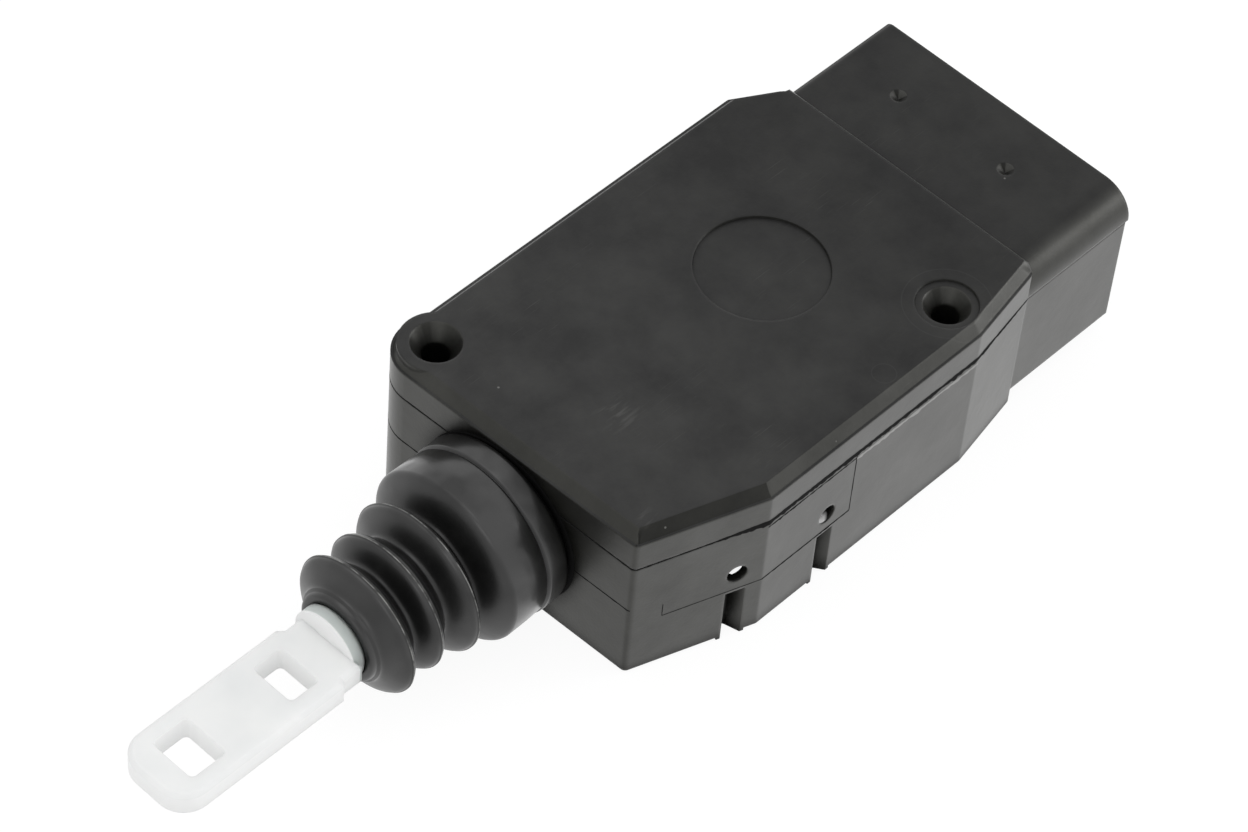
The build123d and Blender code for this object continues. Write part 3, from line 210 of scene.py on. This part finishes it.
def scratches(s, turn, density, length, width):
    """Sparse thin streaks in one direction, as a mask."""
    streaks = s.noise(detail=1.0, vector=s.stretched((1 / length, 1 / width, 1 / width), turn))
    thin = s.range(streaks, 1 - density, 1 - density * 0.8)
    return s.times(thin, s.range(s.noise(scale=90.0, detail=1.0), 0.5, 0.62))


def scuff(s, place, radius):
    """A faint patch of fine rubbed lines about a place on the top, as a mask."""
    lines = s.noise(detail=3.0, vector=s.stretched((300.0, 1800.0, 300.0), 0.5))
    return s.times(s.range(lines, 0.52, 0.68), s.ring(place, 0.0, radius))


def moulded(name, level, tint, roughness, wear=1.0):
    """Moulded plastic with a fine grain, soft mottling, hair scratches and a little dust."""
    s = Shader(name)
    mottle = s.noise(scale=60.0, detail=4.0, rough=0.62)
    base = s.mix(s.range(mottle, 0.3, 0.7), grey(level * 0.8, tint), grey(level * 1.2, tint))
    marks = s.most(
        scratches(s, turn=0.6, density=0.30, length=9 * mm, width=0.16 * mm),
        scratches(s, turn=-0.9, density=0.28, length=6 * mm, width=0.12 * mm),
    )
    dust = s.spots(scale=210.0, size=0.035, share=0.2)
    worn = s.most(s.times(marks, 0.5 * wear), s.times(dust, 0.7 * wear))
    grain = s.bump(s.noise(scale=2600.0), depth=0.03 * mm, strength=0.35)
    normal = s.bump(s.noise(scale=140.0, detail=3.0), depth=0.12 * mm, strength=0.35, normal=grain)
    s.set(
        Base_Color=s.mix(worn, base, grey(0.16, tint)), Normal=normal, IOR=1.3,
        Roughness=s.range(mottle, 0.3, 0.7, roughness - 0.06, roughness + 0.07),
    )
    return s.set(Coat_Weight=1.0, Coat_IOR=1.3, Coat_Roughness=roughness - 0.05, Coat_Normal=normal)


def housing_wear(s):
    """Hair scratches, dust and rubbed patches on the housing, as a mask."""
    marks = s.most(
        scratches(s, turn=0.9, density=0.28, length=7 * mm, width=0.12 * mm),
        scratches(s, turn=-0.5, density=0.28, length=5 * mm, width=0.12 * mm),
    )
    dust = s.spots(scale=150.0, size=0.03, share=0.3)
    worn = s.most(s.times(marks, 0.13), s.times(dust, 0.8))
    for place, radius in scuffs:
        worn = s.most(worn, s.times(scuff(s, place, radius), 0.24))
    return worn


def matt_bevels_painted_shade(s, facing, up):
    """The bevels of the front facet and of the far side, picked by the way they face, as a mask: they get
    painted shade and are made rougher.
    """
    slope = s.times(s.range(facing[2], 0.5, 0.62), s.math("SUBTRACT", 1.0, up))
    front_facet = s.times(s.range(facing[0], -0.08, -0.18), s.range(facing[0], -0.5, -0.4))
    far_side = s.range(facing[1], 0.3, 0.5)
    return s.times(slope, s.most(front_facet, far_side))


def bore_painted_light(s, y):
    """The part of the rear side hole's bore that gets painted light, as a mask."""
    inside = s.range(y, bore_painted_light_start, bore_painted_light_start + 0.15 * mm)
    return s.times(s.range(s.ring(bore_painted_light_middle, 0.0, bore_painted_light_radius), 0.0, 0.08), inside)


def charcoal_plastic():
    """The housing's black plastic: clouded on top, with painted sheen that is fuller on the walls, painted
    shade in crevices and on some bevels, a pale patch of painted light in a bore, hair scratches and dust.
    """
    s = Shader("charcoal_plastic")
    x, y = s.separate(s.place)[:2]
    facing = s.facing()
    up = s.range(facing[2], 0.8, 0.97)
    ahead = s.range(facing[0], -0.6, -0.95)
    cloud = s.noise(scale=75.0, detail=5.0, rough=0.65)
    # Painted shade: bevels picked by the way they face lose sheen and are made rougher
    matt_and_painted_shade = matt_bevels_painted_shade(s, facing, up)
    # Painted shade: the sheen is weakened in crevices, and on the bevels of the front facet and the far side
    free = s.times(s.range(s.painted_crevice_shade(4 * mm), 0.35, 0.85), s.between(matt_and_painted_shade, 1.0, 0.35))

    colour = s.mix(s.range(cloud, 0.35, 0.65), grey(0.002), grey(0.009, (1.0, 1.0, 0.88)))
    colour = s.mix(housing_wear(s), colour, grey(0.14, (1.0, 1.0, 0.95)))
    for place, radius in moulded_rings:
        colour = s.mix(s.times(s.ring(place, radius, width=0.12 * mm), 0.2), colour, grey(0.05))
    # Painted light: a pale patch inside the rear side hole's bore
    colour = s.mix(bore_painted_light(s, y), colour, grey(0.95))

    # Painted sheen and shade: the coat is full on the walls, halved on the front wall, and fades towards the
    # rear on the top
    top_painted_sheen = s.range(x, -30 * mm, 30 * mm, 0.5, 0.1)
    painted_sheen = s.between(ahead, s.between(up, 1.0, top_painted_sheen), 0.5)
    painted_sheen = s.times(painted_sheen, s.range(cloud, 0.3, 0.7, 0.75, 1.25))
    clouded_top = s.between(up, 1.0, s.range(cloud, 0.35, 0.65, 0.91, 1.09))
    # Painted reflection: the sheen on the walls is tinted warm, on the top it is white
    painted_wall_sheen_tint = s.mix(up, grey(1.0, (1.0, 1.0, 0.86)), grey(1.0))
    grain = s.bump(s.noise(scale=2600.0), depth=0.03 * mm, strength=0.35, normal=s.rounded(0.6 * mm))
    normal = s.bump(s.noise(scale=170.0, detail=4.0), depth=0.15 * mm, strength=0.4, normal=grain)
    s.set(
        Base_Color=colour, IOR=1.36, Specular_Tint=painted_wall_sheen_tint, Normal=normal,
        Roughness=s.most(s.range(cloud, 0.3, 0.7, 0.34, 0.48), s.times(matt_and_painted_shade, 0.7)),
        Specular_IOR_Level=s.times(s.times(free, clouded_top), 0.5),
    )
    return s.set(Coat_Weight=s.times(painted_sheen, free), Coat_IOR=1.39, Coat_Roughness=0.36, Coat_Normal=normal)


def metal(name, colour, roughness, grain=(900.0, 9000.0, 900.0)):
    """Metal with a drawn grain and slight patches of dullness."""
    s = Shader(name)
    lines = s.noise(vector=s.stretched(grain))
    patches = s.range(s.noise(scale=260.0, detail=3.0), 0.35, 0.7)
    return s.set(
        Base_Color=s.mix(patches, colour, darker(colour, 0.8)), Metallic=1.0,
        Roughness=s.range(lines, 0.3, 0.7, roughness - 0.08, roughness + 0.1),
        Normal=s.bump(lines, depth=0.01 * mm, strength=0.4),
    )


def wound(name, colour):
    """Enamelled wire in close turns, with painted shade between the turns."""
    s = Shader(name)
    wave = s.node("ShaderNodeTexWave", bands_direction="Y")
    wave.inputs["Scale"].default_value = 900.0
    s.put(s.place, wave.inputs["Vector"])
    turn = wave.outputs["Fac"]
    # Painted shade: the colour is darker between the turns
    return s.set(
        Base_Color=s.mix(turn, darker(colour, 0.5), colour), Metallic=0.6, Roughness=0.35,
        Normal=s.bump(turn, depth=0.1 * mm, strength=0.8),
    )


def rubber(name):
    """Satin black rubber, with faint flow marks, a dusty bloom, glossier patches of painted reflection that
    are weaker on faces towards the front, and painted shade in crevices.
    """
    s = Shader(name)
    bloom = s.noise(scale=110.0, detail=4.0, rough=0.65)
    colour = s.mix(s.range(bloom, 0.45, 0.8), grey(0.004), grey(0.010, (1.0, 1.0, 0.95)))
    dust = s.spots(scale=260.0, size=0.04, share=0.12)
    colour = s.mix(s.times(dust, 0.5), colour, grey(0.12))
    # Painted shade: the sheen is weakened in crevices
    free = s.range(s.painted_crevice_shade(5 * mm), 0.12, 0.88)
    # Painted reflection: patches of coat, weaker on the faces that point to the front
    ahead = s.range(s.facing()[0], -0.35, -0.8)
    patches = s.range(s.noise(scale=150.0), 0.4, 0.6, 0.1, 0.7)
    patches = s.times(patches, s.between(ahead, 1.0, 0.3))
    flow = s.noise(detail=3.0, vector=s.stretched((900.0, 160.0, 160.0)))
    grain = s.bump(s.noise(scale=3000.0), depth=0.02 * mm, strength=0.25)
    normal = s.bump(flow, depth=0.05 * mm, strength=0.3, normal=grain)
    s.set(
        Base_Color=colour, Roughness=s.range(bloom, 0.3, 0.7, 0.3, 0.42), Normal=normal, IOR=1.5,
        Specular_IOR_Level=s.times(free, 0.5),
    )
    return s.set(Coat_Weight=s.times(patches, free), Coat_IOR=1.5, Coat_Roughness=0.2, Coat_Normal=normal)


def flash_and_highlight_rubber(name):
    """The thin paler line of flash on the crests of the bellows, paler partly from dust and partly as a
    painted highlight.
    """
    s = Shader(name)
    broken = s.range(s.noise(scale=700.0, detail=3.0), 0.35, 0.6)
    return s.set(Base_Color=s.mix(broken, grey(0.02), grey(0.22, (1.0, 1.0, 0.97))), Roughness=0.5)


def natural_white(name):
    """Unfilled natural plastic: white, a little translucent, with faint cloudiness, painted light that
    whitens the faces standing upright, and a greyer stem.
    """
    s = Shader(name)
    cloud = s.noise(scale=120.0, detail=3.0)
    colour = s.mix(s.range(cloud, 0.3, 0.7), (0.80, 0.81, 0.81, 1.0), (0.86, 0.865, 0.86, 1.0))
    # Painted light: faces that stand upright are made whiter
    upright = s.range(s.math("ABSOLUTE", s.facing()[2]), 0.7, 0.3, 0.0, 0.8)
    colour = s.mix(upright, colour, (0.93, 0.935, 0.93, 1.0))
    stem = s.range(s.separate(s.place)[0], stem_front_x, stem_front_x + 0.2 * mm)
    colour = s.mix(stem, colour, (0.52, 0.555, 0.54, 1.0))
    fine = s.noise(scale=900.0, detail=3.0)
    s.set(
        Base_Color=colour, Roughness=s.range(cloud, 0.3, 0.7, 0.4, 0.5), IOR=1.35,
        Normal=s.bump(fine, depth=0.02 * mm, strength=0.3, normal=s.rounded(0.35 * mm)),
    )
    return s.set(Subsurface_Weight=1.0, Subsurface_Radius=(1.0, 1.0, 1.0), Subsurface_Scale=3.0 * mm)


def seam_and_painted_shadow_black(name):
    """The dark, rough space between two mouldings; the same black is also used for painted shadow."""
    s = Shader(name)
    colour = s.mix(s.noise(scale=1500.0), grey(0.002), grey(0.008))
    return s.set(Base_Color=colour, Roughness=0.8, Specular_IOR_Level=0.1)


charcoal = charcoal_plastic()
dark_plastic = moulded("dark_inner_plastic", 0.02, (1, 1, 1), 0.5)
acetal = moulded("acetal", 0.6, (1.0, 0.98, 0.9), 0.35, wear=0.0)
laminate = moulded("laminate", 0.1, (1.0, 0.7, 0.35), 0.5)
resin = moulded("resin_coat", 0.2, (1.0, 0.4, 0.15), 0.3)
carbon = moulded("carbon", 0.015, (1, 1, 1), 0.7)
ferrite = moulded("ferrite", 0.03, (1, 1, 1.05), 0.6)
# Lighter plastic for the parting's lip: a painted highlight on its edge
lip_painted_highlight = moulded("lip_painted_highlight", 0.22, (1.0, 1.0, 0.96), 0.4)
boot_rubber = rubber("boot_rubber")
crest_flash_and_highlight = flash_and_highlight_rubber("crest_flash_and_highlight")
stop_rubber = rubber("stop_rubber")
white_plastic = natural_white("natural_white_plastic")
steel = metal("bright_steel", grey(0.55), 0.25)
plated = metal("plated_steel", grey(0.5, (1.0, 1.0, 1.02)), 0.35)
core_steel = metal("core_steel", grey(0.25), 0.45, grain=(300.0, 20000.0, 300.0))
bronze = metal("bronze", (0.5, 0.36, 0.17, 1.0), 0.5)
brass = metal("brass", (0.72, 0.55, 0.26, 1.0), 0.3)
tinned = metal("tinned_brass", (0.68, 0.66, 0.6, 1.0), 0.32)
copper = metal("copper", (0.72, 0.38, 0.24, 1.0), 0.3)
wire = wound("enamelled_wire", (0.62, 0.24, 0.1, 1.0))
# Black for seams, and for painted shadow
joint_and_painted_shadow_black = seam_and_painted_shadow_black("seam_and_painted_shadow_black")

finishes = {
    "housing_base": charcoal, "housing_cover": charcoal, "plunger": white_plastic, "guide_bush": acetal,
    "front_buffer": stop_rubber, "rear_buffers": stop_rubber, "motor_can": plated,
    "motor_end_cap": dark_plastic, "motor_bearings": bronze, "motor_magnets": ferrite,
    "motor_shaft": steel, "armature_core": core_steel, "armature_windings": wire, "commutator": copper,
    "brushes": carbon, "motor_pinion": brass, "intermediate_gear": acetal, "intermediate_axle": steel,
    "output_gear": acetal, "output_axle": steel, "contact_board": laminate, "contact_tracks": brass,
    "contact_wiper": brass, "terminal_carrier": dark_plastic, "terminal_blades": tinned,
    "motor_straps": brass, "switch_leads": brass, "thermistor": resin,
}
for node_name, material in finishes.items():
    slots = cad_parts[node_name].data.materials
    slots.clear()
    slots.append(material)


# Pieces

def piece(name, made, body, material, smooth=True):
    """Turns a bmesh into a piece of the scene that rides on a body, or on none yet."""
    mesh = bpy.data.meshes.new(name)
    bmesh.ops.recalc_face_normals(made, faces=made.faces)
    made.to_mesh(mesh)
    made.free()
    mesh.materials.append(material)
    for face in mesh.polygons:
        face.use_smooth = smooth
    thing = bpy.data.objects.new(name, mesh)
    bpy.context.scene.collection.objects.link(thing)
    if body:
        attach(thing, body)
    return thing


def bridge(made, first, second, slot=0):
    """Joins two rings of corners with a band of faces."""
    count = len(first)
    for turn in range(count):
        after = (turn + 1) % count
        face = made.faces.new((first[turn], first[after], second[after], second[turn]))
        face.material_index = slot


turns = 128
angles = [2 * math.pi * turn / turns for turn in range(turns)]


# The bellows, turned from stations: reach in front of the housing's front corner, and radius, in mm
collar = [
    (0.3, 12.3), (1.15, 12.4), (1.25, 13.0), (1.5, 13.3), (2.0, 13.42), (4.55, 13.42), (4.8, 13.36),
    (4.9, 13.0), (5.05, 12.95), (5.15, 13.12), (5.4, 13.24), (7.5, 13.34), (10.9, 13.4),
]
valleys = [(14.2, 8.7), (19.1, 8.0), (24.5, 7.7)]
crests = [(16.3, 11.5), (22.0, 10.4), (27.4, 10.6)]
lip = [
    (30.3, 7.3), (30.4, 6.95), (30.6, 6.9), (31.1, 6.75), (31.3, 6.4), (31.3, 5.8), (31.2, 5.4),
    (30.4, 5.27), (29.75, 5.3), (29.6, 5.9),
]
inner = [
    (28.9, 7.6), (27.4, 9.0), (26.0, 7.2), (24.5, 6.5), (23.0, 7.6), (21.9, 8.8), (20.5, 7.2),
    (19.0, 6.8), (17.4, 8.4), (16.2, 10.0), (14.9, 7.9), (14.2, 7.5), (12.6, 9.6), (10.2, 11.5),
    (9.7, 11.5), (0.35, 11.5),
]

# The flash's height, the sag of the last folds, and the folds' unevenness, in mm
flash = 0.13
sag_depth = 0.45
sag_middle = 25.5
sag_spread = 4.5
unevenness = 0.10
uneven_from = 12.0
uneven_to = 30.0
uneven_outside = 7.6


def swept(first, last, steps=14):
    """Stations from one bend to the next along half a cosine wave, without the last."""
    made = []
    for step in range(steps):
        share = step / steps
        level = (1 - math.cos(math.pi * share)) / 2
        made.append((first[0] + (last[0] - first[0]) * share, first[1] + (last[1] - first[1]) * level))
    return made


def flashed(crest):
    """The thin line of flash that the mould leaves round a crest. Its top joins the last two stations."""
    reach, radius = crest
    top = radius + flash
    return [(reach - flash, radius), (reach - flash * 0.7, top), (reach + flash * 0.7, top)]


def uneven(reach, radius, angle):
    """How far the skin of the folds stands out of round."""
    if not uneven_from < reach < uneven_to or radius <= uneven_outside:
        return 0.0
    place = Vector((reach * 0.35, 2.2 * math.cos(angle), 2.2 * math.sin(angle)))
    return unevenness * noise.noise(place)


profile = collar[:-1]
bend = collar[-1]
flash_tops = []
for valley, crest in zip(valleys, crests):
    reach, radius = crest
    profile += swept(bend, valley) + swept(valley, (reach - flash, radius)) + flashed(crest)
    flash_tops.append(len(profile) - 2)
    bend = (reach + flash, radius)
profile += swept(bend, lip[0]) + lip + inner

bellows = bmesh.new()
rings = []
for reach, radius in profile:
    sag = sag_depth * math.exp(-((reach - sag_middle) / sag_spread) ** 2)
    ring = []
    for angle in angles:
        across = radius + uneven(reach, radius, angle)
        ring.append(bellows.verts.new((
            front_x - reach * mm,
            axis_y + across * math.cos(angle) * mm,
            axis_z + (across * math.sin(angle) - sag) * mm,
        )))
    rings.append(ring)
for index, ring in enumerate(rings):
    following = rings[(index + 1) % len(rings)]
    bridge(bellows, ring, following, slot=1 if index in flash_tops else 0)
boot = piece("bellows_boot", bellows, None, boot_rubber)
# The crests' flash line is paler: dust and a painted highlight
boot.data.materials.append(crest_flash_and_highlight)
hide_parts("bellows")
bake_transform(boot)


# The route round the housing's walls that the seam and the mould lines follow

def outline_of(node, z):
    """The loop round a CAD node's section at a height that passes its lowest x, as points in order."""
    cut = bmesh.new()
    cut.from_mesh(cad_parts[node].data)
    bmesh.ops.remove_doubles(cut, verts=cut.verts, dist=1e-6)
    found = bmesh.ops.bisect_plane(
        cut, geom=cut.verts[:] + cut.edges[:] + cut.faces[:], plane_co=(0, 0, z), plane_no=(0, 0, 1)
    )["geom_cut"]
    neighbours = {}
    for edge in found:
        if isinstance(edge, bmesh.types.BMEdge):
            a, b = edge.verts
            neighbours.setdefault(a, []).append(b)
            neighbours.setdefault(b, []).append(a)
    start = min(neighbours, key=lambda v: v.co.x)
    loop = [start]
    before, here = start, neighbours[start][0]
    while here is not start:
        loop.append(here)
        ahead = [v for v in neighbours[here] if v is not before]
        before, here = here, ahead[0]
    points = [v.co.copy() for v in loop]
    cut.free()
    return points


def counterclockwise(points):
    """A closed route in the order that runs counterclockwise, seen from above."""
    doubled_area = sum(a.cross(b).z for a, b in zip(points, points[1:] + points[:1]))
    return points if doubled_area >= 0 else points[::-1]


def evenly(points, spacing):
    """The points of a closed route at an even spacing."""
    made = []
    for a, b in zip(points, points[1:] + points[:1]):
        count = max(1, int((b - a).length / spacing))
        made += [a.lerp(b, step / count) for step in range(count)]
    return made


above_parting_z = 24.0 * mm
wall_outline = counterclockwise(outline_of("housing_cover", above_parting_z))
seam_route = [Vector((p.x, p.y, parting_z)) for p in evenly(wall_outline, 0.35 * mm)]


def nearest(place):
    """The number of the route's point that lies nearest to a place in plan."""
    return min(range(len(seam_route)), key=lambda i: (seam_route[i].xy - place.xy).length)


def wall_run(first, last, z):
    """The short way round the walls between two places in plan, counterclockwise, at a height."""
    start, end = nearest(first), nearest(last)
    count = len(seam_route)
    ahead = [(start + i) % count for i in range((end - start) % count + 1)]
    back = [(end + i) % count for i in range((start - end) % count + 1)]
    run = ahead if len(ahead) < len(back) else back
    return [Vector((seam_route[i].x, seam_route[i].y, z)) for i in run]


def upright_run(place, low, high, count=12):
    """Points up a wall at a place in plan."""
    foot = seam_route[nearest(place)]
    return [Vector((foot.x, foot.y, low + (high - low) * i / count)) for i in range(count + 1)]


# Seams and lines: flat strips that stand a little proud of the walls
line_proud = 0.02 * mm
ragged_scale = 1400.0


def ribbon(name, points, width, closed=False, material=joint_and_painted_shadow_black, ragged=0.5):
    """A thin line that follows a route on upright walls, as wide as width(point) says."""
    made = bmesh.new()
    rows = []
    count = len(points)
    for index, point in enumerate(points):
        before = points[index - 1] if index or closed else point
        after = points[(index + 1) % count] if index + 1 < count or closed else point
        along = (after - before).normalized()
        outward = along.cross(Vector((0, 0, 1)))
        if outward.length < 0.5:
            outward = Vector((0, -1, 0))
        side = along.cross(outward).normalized()
        jitter = ragged * noise.noise(point * ragged_scale)
        half = width(point) * (1 + jitter) / 2
        middle = point + outward.normalized() * line_proud + side * jitter * half * 0.5
        rows.append((made.verts.new(middle + side * half), made.verts.new(middle - side * half)))
    pairs = list(zip(rows, rows[1:])) + ([(rows[-1], rows[0])] if closed else [])
    for (a, b), (c, d) in pairs:
        made.faces.new((a, b, d, c))
    return piece(name, made, "housing", material, smooth=False)


def wall_line(name, points, width, material=joint_and_painted_shadow_black, ragged=0.5):
    """A line of one width on a wall."""
    return ribbon(name, points, lambda point: width, material=material, ragged=ragged)


# Corners of the plan, and the places where the mould lines start and end
front_corner = Vector((front_x, -20.4 * mm, 0))
facet_corner = Vector((-18.4 * mm, near_wall_y, 0))
far_side = Vector((-30 * mm, 27 * mm, 0))
facet = (facet_corner - front_corner).normalized()
mark_start = front_corner + facet * 5.0 * mm
mark_end = Vector((-1.1 * mm, near_wall_y, 0))
lip_end = Vector((24 * mm, near_wall_y, 0))
mark_z = 10.2 * mm
mark_height = 2.4 * mm

# The parting, which gapes along the near side and closes along the slanting walls at its ends
seam_closed = 0.24 * mm
seam_gaping = 0.84 * mm
gape_start_y = -24.0 * mm
gape_full_y = -26.5 * mm


def seam_width(point):
    gape = min(1.0, max(0.0, (gape_start_y - point.y) / (gape_start_y - gape_full_y)))
    return seam_closed + (seam_gaping - seam_closed) * gape


ribbon("parting_seam", seam_route, seam_width, closed=True, ragged=0.75)

# Lines left by the mould on the near side, and a witness line round the front
wall_line("mould_line_start", upright_run(mark_start, mark_z, mark_z + mark_height), 0.12 * mm)
wall_line("mould_line_facet", wall_run(mark_start, facet_corner, mark_z), 0.12 * mm)
wall_line("mould_line_side", wall_run(facet_corner, mark_end, mark_z), 0.28 * mm, ragged=0.9)
wall_line("mould_line_end", upright_run(mark_end, mark_z, parting_z), 0.14 * mm)
wall_line("front_witness_line", wall_run(front_corner, far_side, axis_z), 0.2 * mm)

# Under the parting, a second ragged line, and behind it a lip with a painted highlight that makes it
# brighter than the walls
second_line = wall_run(facet_corner, mark_end, parting_z - 0.95 * mm)
wall_line("parting_second_line", second_line, 0.28 * mm, ragged=1.4)
lip_run = wall_run(mark_end, lip_end, parting_z - 1.1 * mm)
wall_line("parting_lip_painted_highlight", lip_run, 0.6 * mm, lip_painted_highlight, ragged=0.9)

# A painted shadow round the neck: a dark ring on the slanting front wall, where the bellows' collar meets it
painted_shadow_radii = (11.6 * mm, 13.45 * mm)
painted_shadow_proud = 0.03 * mm
painted_shadow_unevenness = 0.01
front_wall = sorted((p for p in seam_route if abs(p.y) < 15 * mm and p.x < -30 * mm), key=lambda p: p.y)
near_end, far_end = front_wall[0], front_wall[-1]
lean = (far_end.x - near_end.x) / (far_end.y - near_end.y)
painted_shadow_ring = bmesh.new()
painted_shadow_rings = []
for radius in painted_shadow_radii:
    ring = []
    for angle in angles:
        wobble = noise.noise(Vector((3 * math.cos(angle), 3 * math.sin(angle), 0)))
        across = radius * (1 + painted_shadow_unevenness * wobble)
        y = axis_y + across * math.cos(angle)
        x = near_end.x + lean * (y - near_end.y) - painted_shadow_proud
        ring.append(painted_shadow_ring.verts.new((x, y, min(axis_z + across * math.sin(angle), bevel_foot_z))))
    painted_shadow_rings.append(ring)
bridge(painted_shadow_ring, *painted_shadow_rings)
piece("collar_painted_shadow", painted_shadow_ring, "housing", joint_and_painted_shadow_black, smooth=False)

# Painted shadow in a nick of the bevel at the front corner, as a short dark line
nick_foot = Vector((front_x, -20.3 * mm, bevel_foot_z))
nick_rise = Vector((0.7 * mm, 0.7 * mm, 1.3 * mm))
nick = [nick_foot + nick_rise * share for share in (0.0, 0.25, 0.5, 0.75, 1.0)]
wall_line("corner_nick_painted_shadow", nick, 0.22 * mm)


# Camera, from the calibration of the photograph
camera = bpy.data.objects.new("camera", bpy.data.cameras.new("camera"))
bpy.context.scene.collection.objects.link(camera)
bpy.context.scene.camera = camera
camera.matrix_world = Matrix((
    (0.69348, 0.51973, -0.49896, -0.325495),
    (-0.71768, 0.55926, -0.41493, -0.257587),
    (0.06340, 0.64584, 0.76083, 0.494188),
    (0, 0, 0, 1),
))
camera.data.sensor_width = 36.0
camera.data.lens = 132.59
camera.data.shift_x = -0.0102
camera.data.shift_y = -0.01265
camera.data.clip_start = 0.01
camera.data.clip_end = 20.0


# Floor and world: each is plain where it lights the object, and white where it is seen

def seen_white(tree, plain, white):
    """Mixes two shaders, with the white one for camera, glossy and transmission rays."""
    path = tree.nodes.new("ShaderNodeLightPath")
    seen = path.outputs["Is Camera Ray"]
    for kind in ("Is Glossy Ray", "Is Transmission Ray"):
        either = tree.nodes.new("ShaderNodeMath")
        either.operation = "MAXIMUM"
        tree.links.new(seen, either.inputs[0])
        tree.links.new(path.outputs[kind], either.inputs[1])
        seen = either.outputs[0]
    mixed = tree.nodes.new("ShaderNodeMixShader")
    tree.links.new(seen, mixed.inputs[0])
    tree.links.new(plain, mixed.inputs[1])
    tree.links.new(white, mixed.inputs[2])
    return mixed.outputs[0]


def diffuse(tree, level):
    made = tree.nodes.new("ShaderNodeBsdfDiffuse")
    made.inputs["Color"].default_value = grey(level)
    return made.outputs[0]


def glowing(tree, kind, strength):
    """A white emission or background."""
    made = tree.nodes.new(kind)
    made.inputs["Color"].default_value = grey(1.0)
    made.inputs["Strength"].default_value = strength
    return made.outputs[0]


floor_material = bpy.data.materials.new("pale_floor")
floor_material.use_nodes = True
tree = floor_material.node_tree
tree.nodes.clear()
shadowed_white = tree.nodes.new("ShaderNodeAddShader")
tree.links.new(diffuse(tree, 0.12), shadowed_white.inputs[0])
tree.links.new(glowing(tree, "ShaderNodeEmission", 0.92), shadowed_white.inputs[1])
output = tree.nodes.new("ShaderNodeOutputMaterial")
tree.links.new(seen_white(tree, diffuse(tree, 0.8), shadowed_white.outputs[0]), output.inputs["Surface"])

floor_circle = bmesh.new()
bmesh.ops.create_circle(floor_circle, cap_ends=True, segments=64, radius=4.0)
floor_mesh = bpy.data.meshes.new("floor")
floor_circle.to_mesh(floor_mesh)
floor_circle.free()
floor_mesh.materials.append(floor_material)
floor = bpy.data.objects.new("floor", floor_mesh)
floor.location.z = -0.1 * mm
bpy.context.scene.collection.objects.link(floor)

world = bpy.data.worlds.new("studio")
bpy.context.scene.world = world
world.use_nodes = True
tree = world.node_tree
tree.nodes.clear()
dim = glowing(tree, "ShaderNodeBackground", 0.8)
white = glowing(tree, "ShaderNodeBackground", 1.0)
output = tree.nodes.new("ShaderNodeOutputWorld")
tree.links.new(seen_white(tree, dim, white), output.inputs["Surface"])


# Light

def lamp(name, place, aim, size, power):
    """A soft square lamp at a place, aimed at a point."""
    data = bpy.data.lights.new(name, "AREA")
    data.shape = "SQUARE"
    data.size = size
    data.energy = power
    thing = bpy.data.objects.new(name, data)
    bpy.context.scene.collection.objects.link(thing)
    thing.location = place
    thing.rotation_mode = "QUATERNION"
    thing.rotation_quaternion = (Vector(aim) - Vector(place)).to_track_quat("-Z", "Y")


lamp("key", place=(1.0, -0.7, 0.4), aim=(0, 0, 0.01), size=0.5, power=3.5)
lamp("top", place=(-0.2, 0.2, 1.1), aim=(0, 0, 0), size=0.9, power=1.2)
lamp("front", place=(-0.9, -0.4, 0.6), aim=(0, 0, 0.01), size=0.5, power=0.8)

bpy.context.scene.view_settings.view_transform = "Standard"
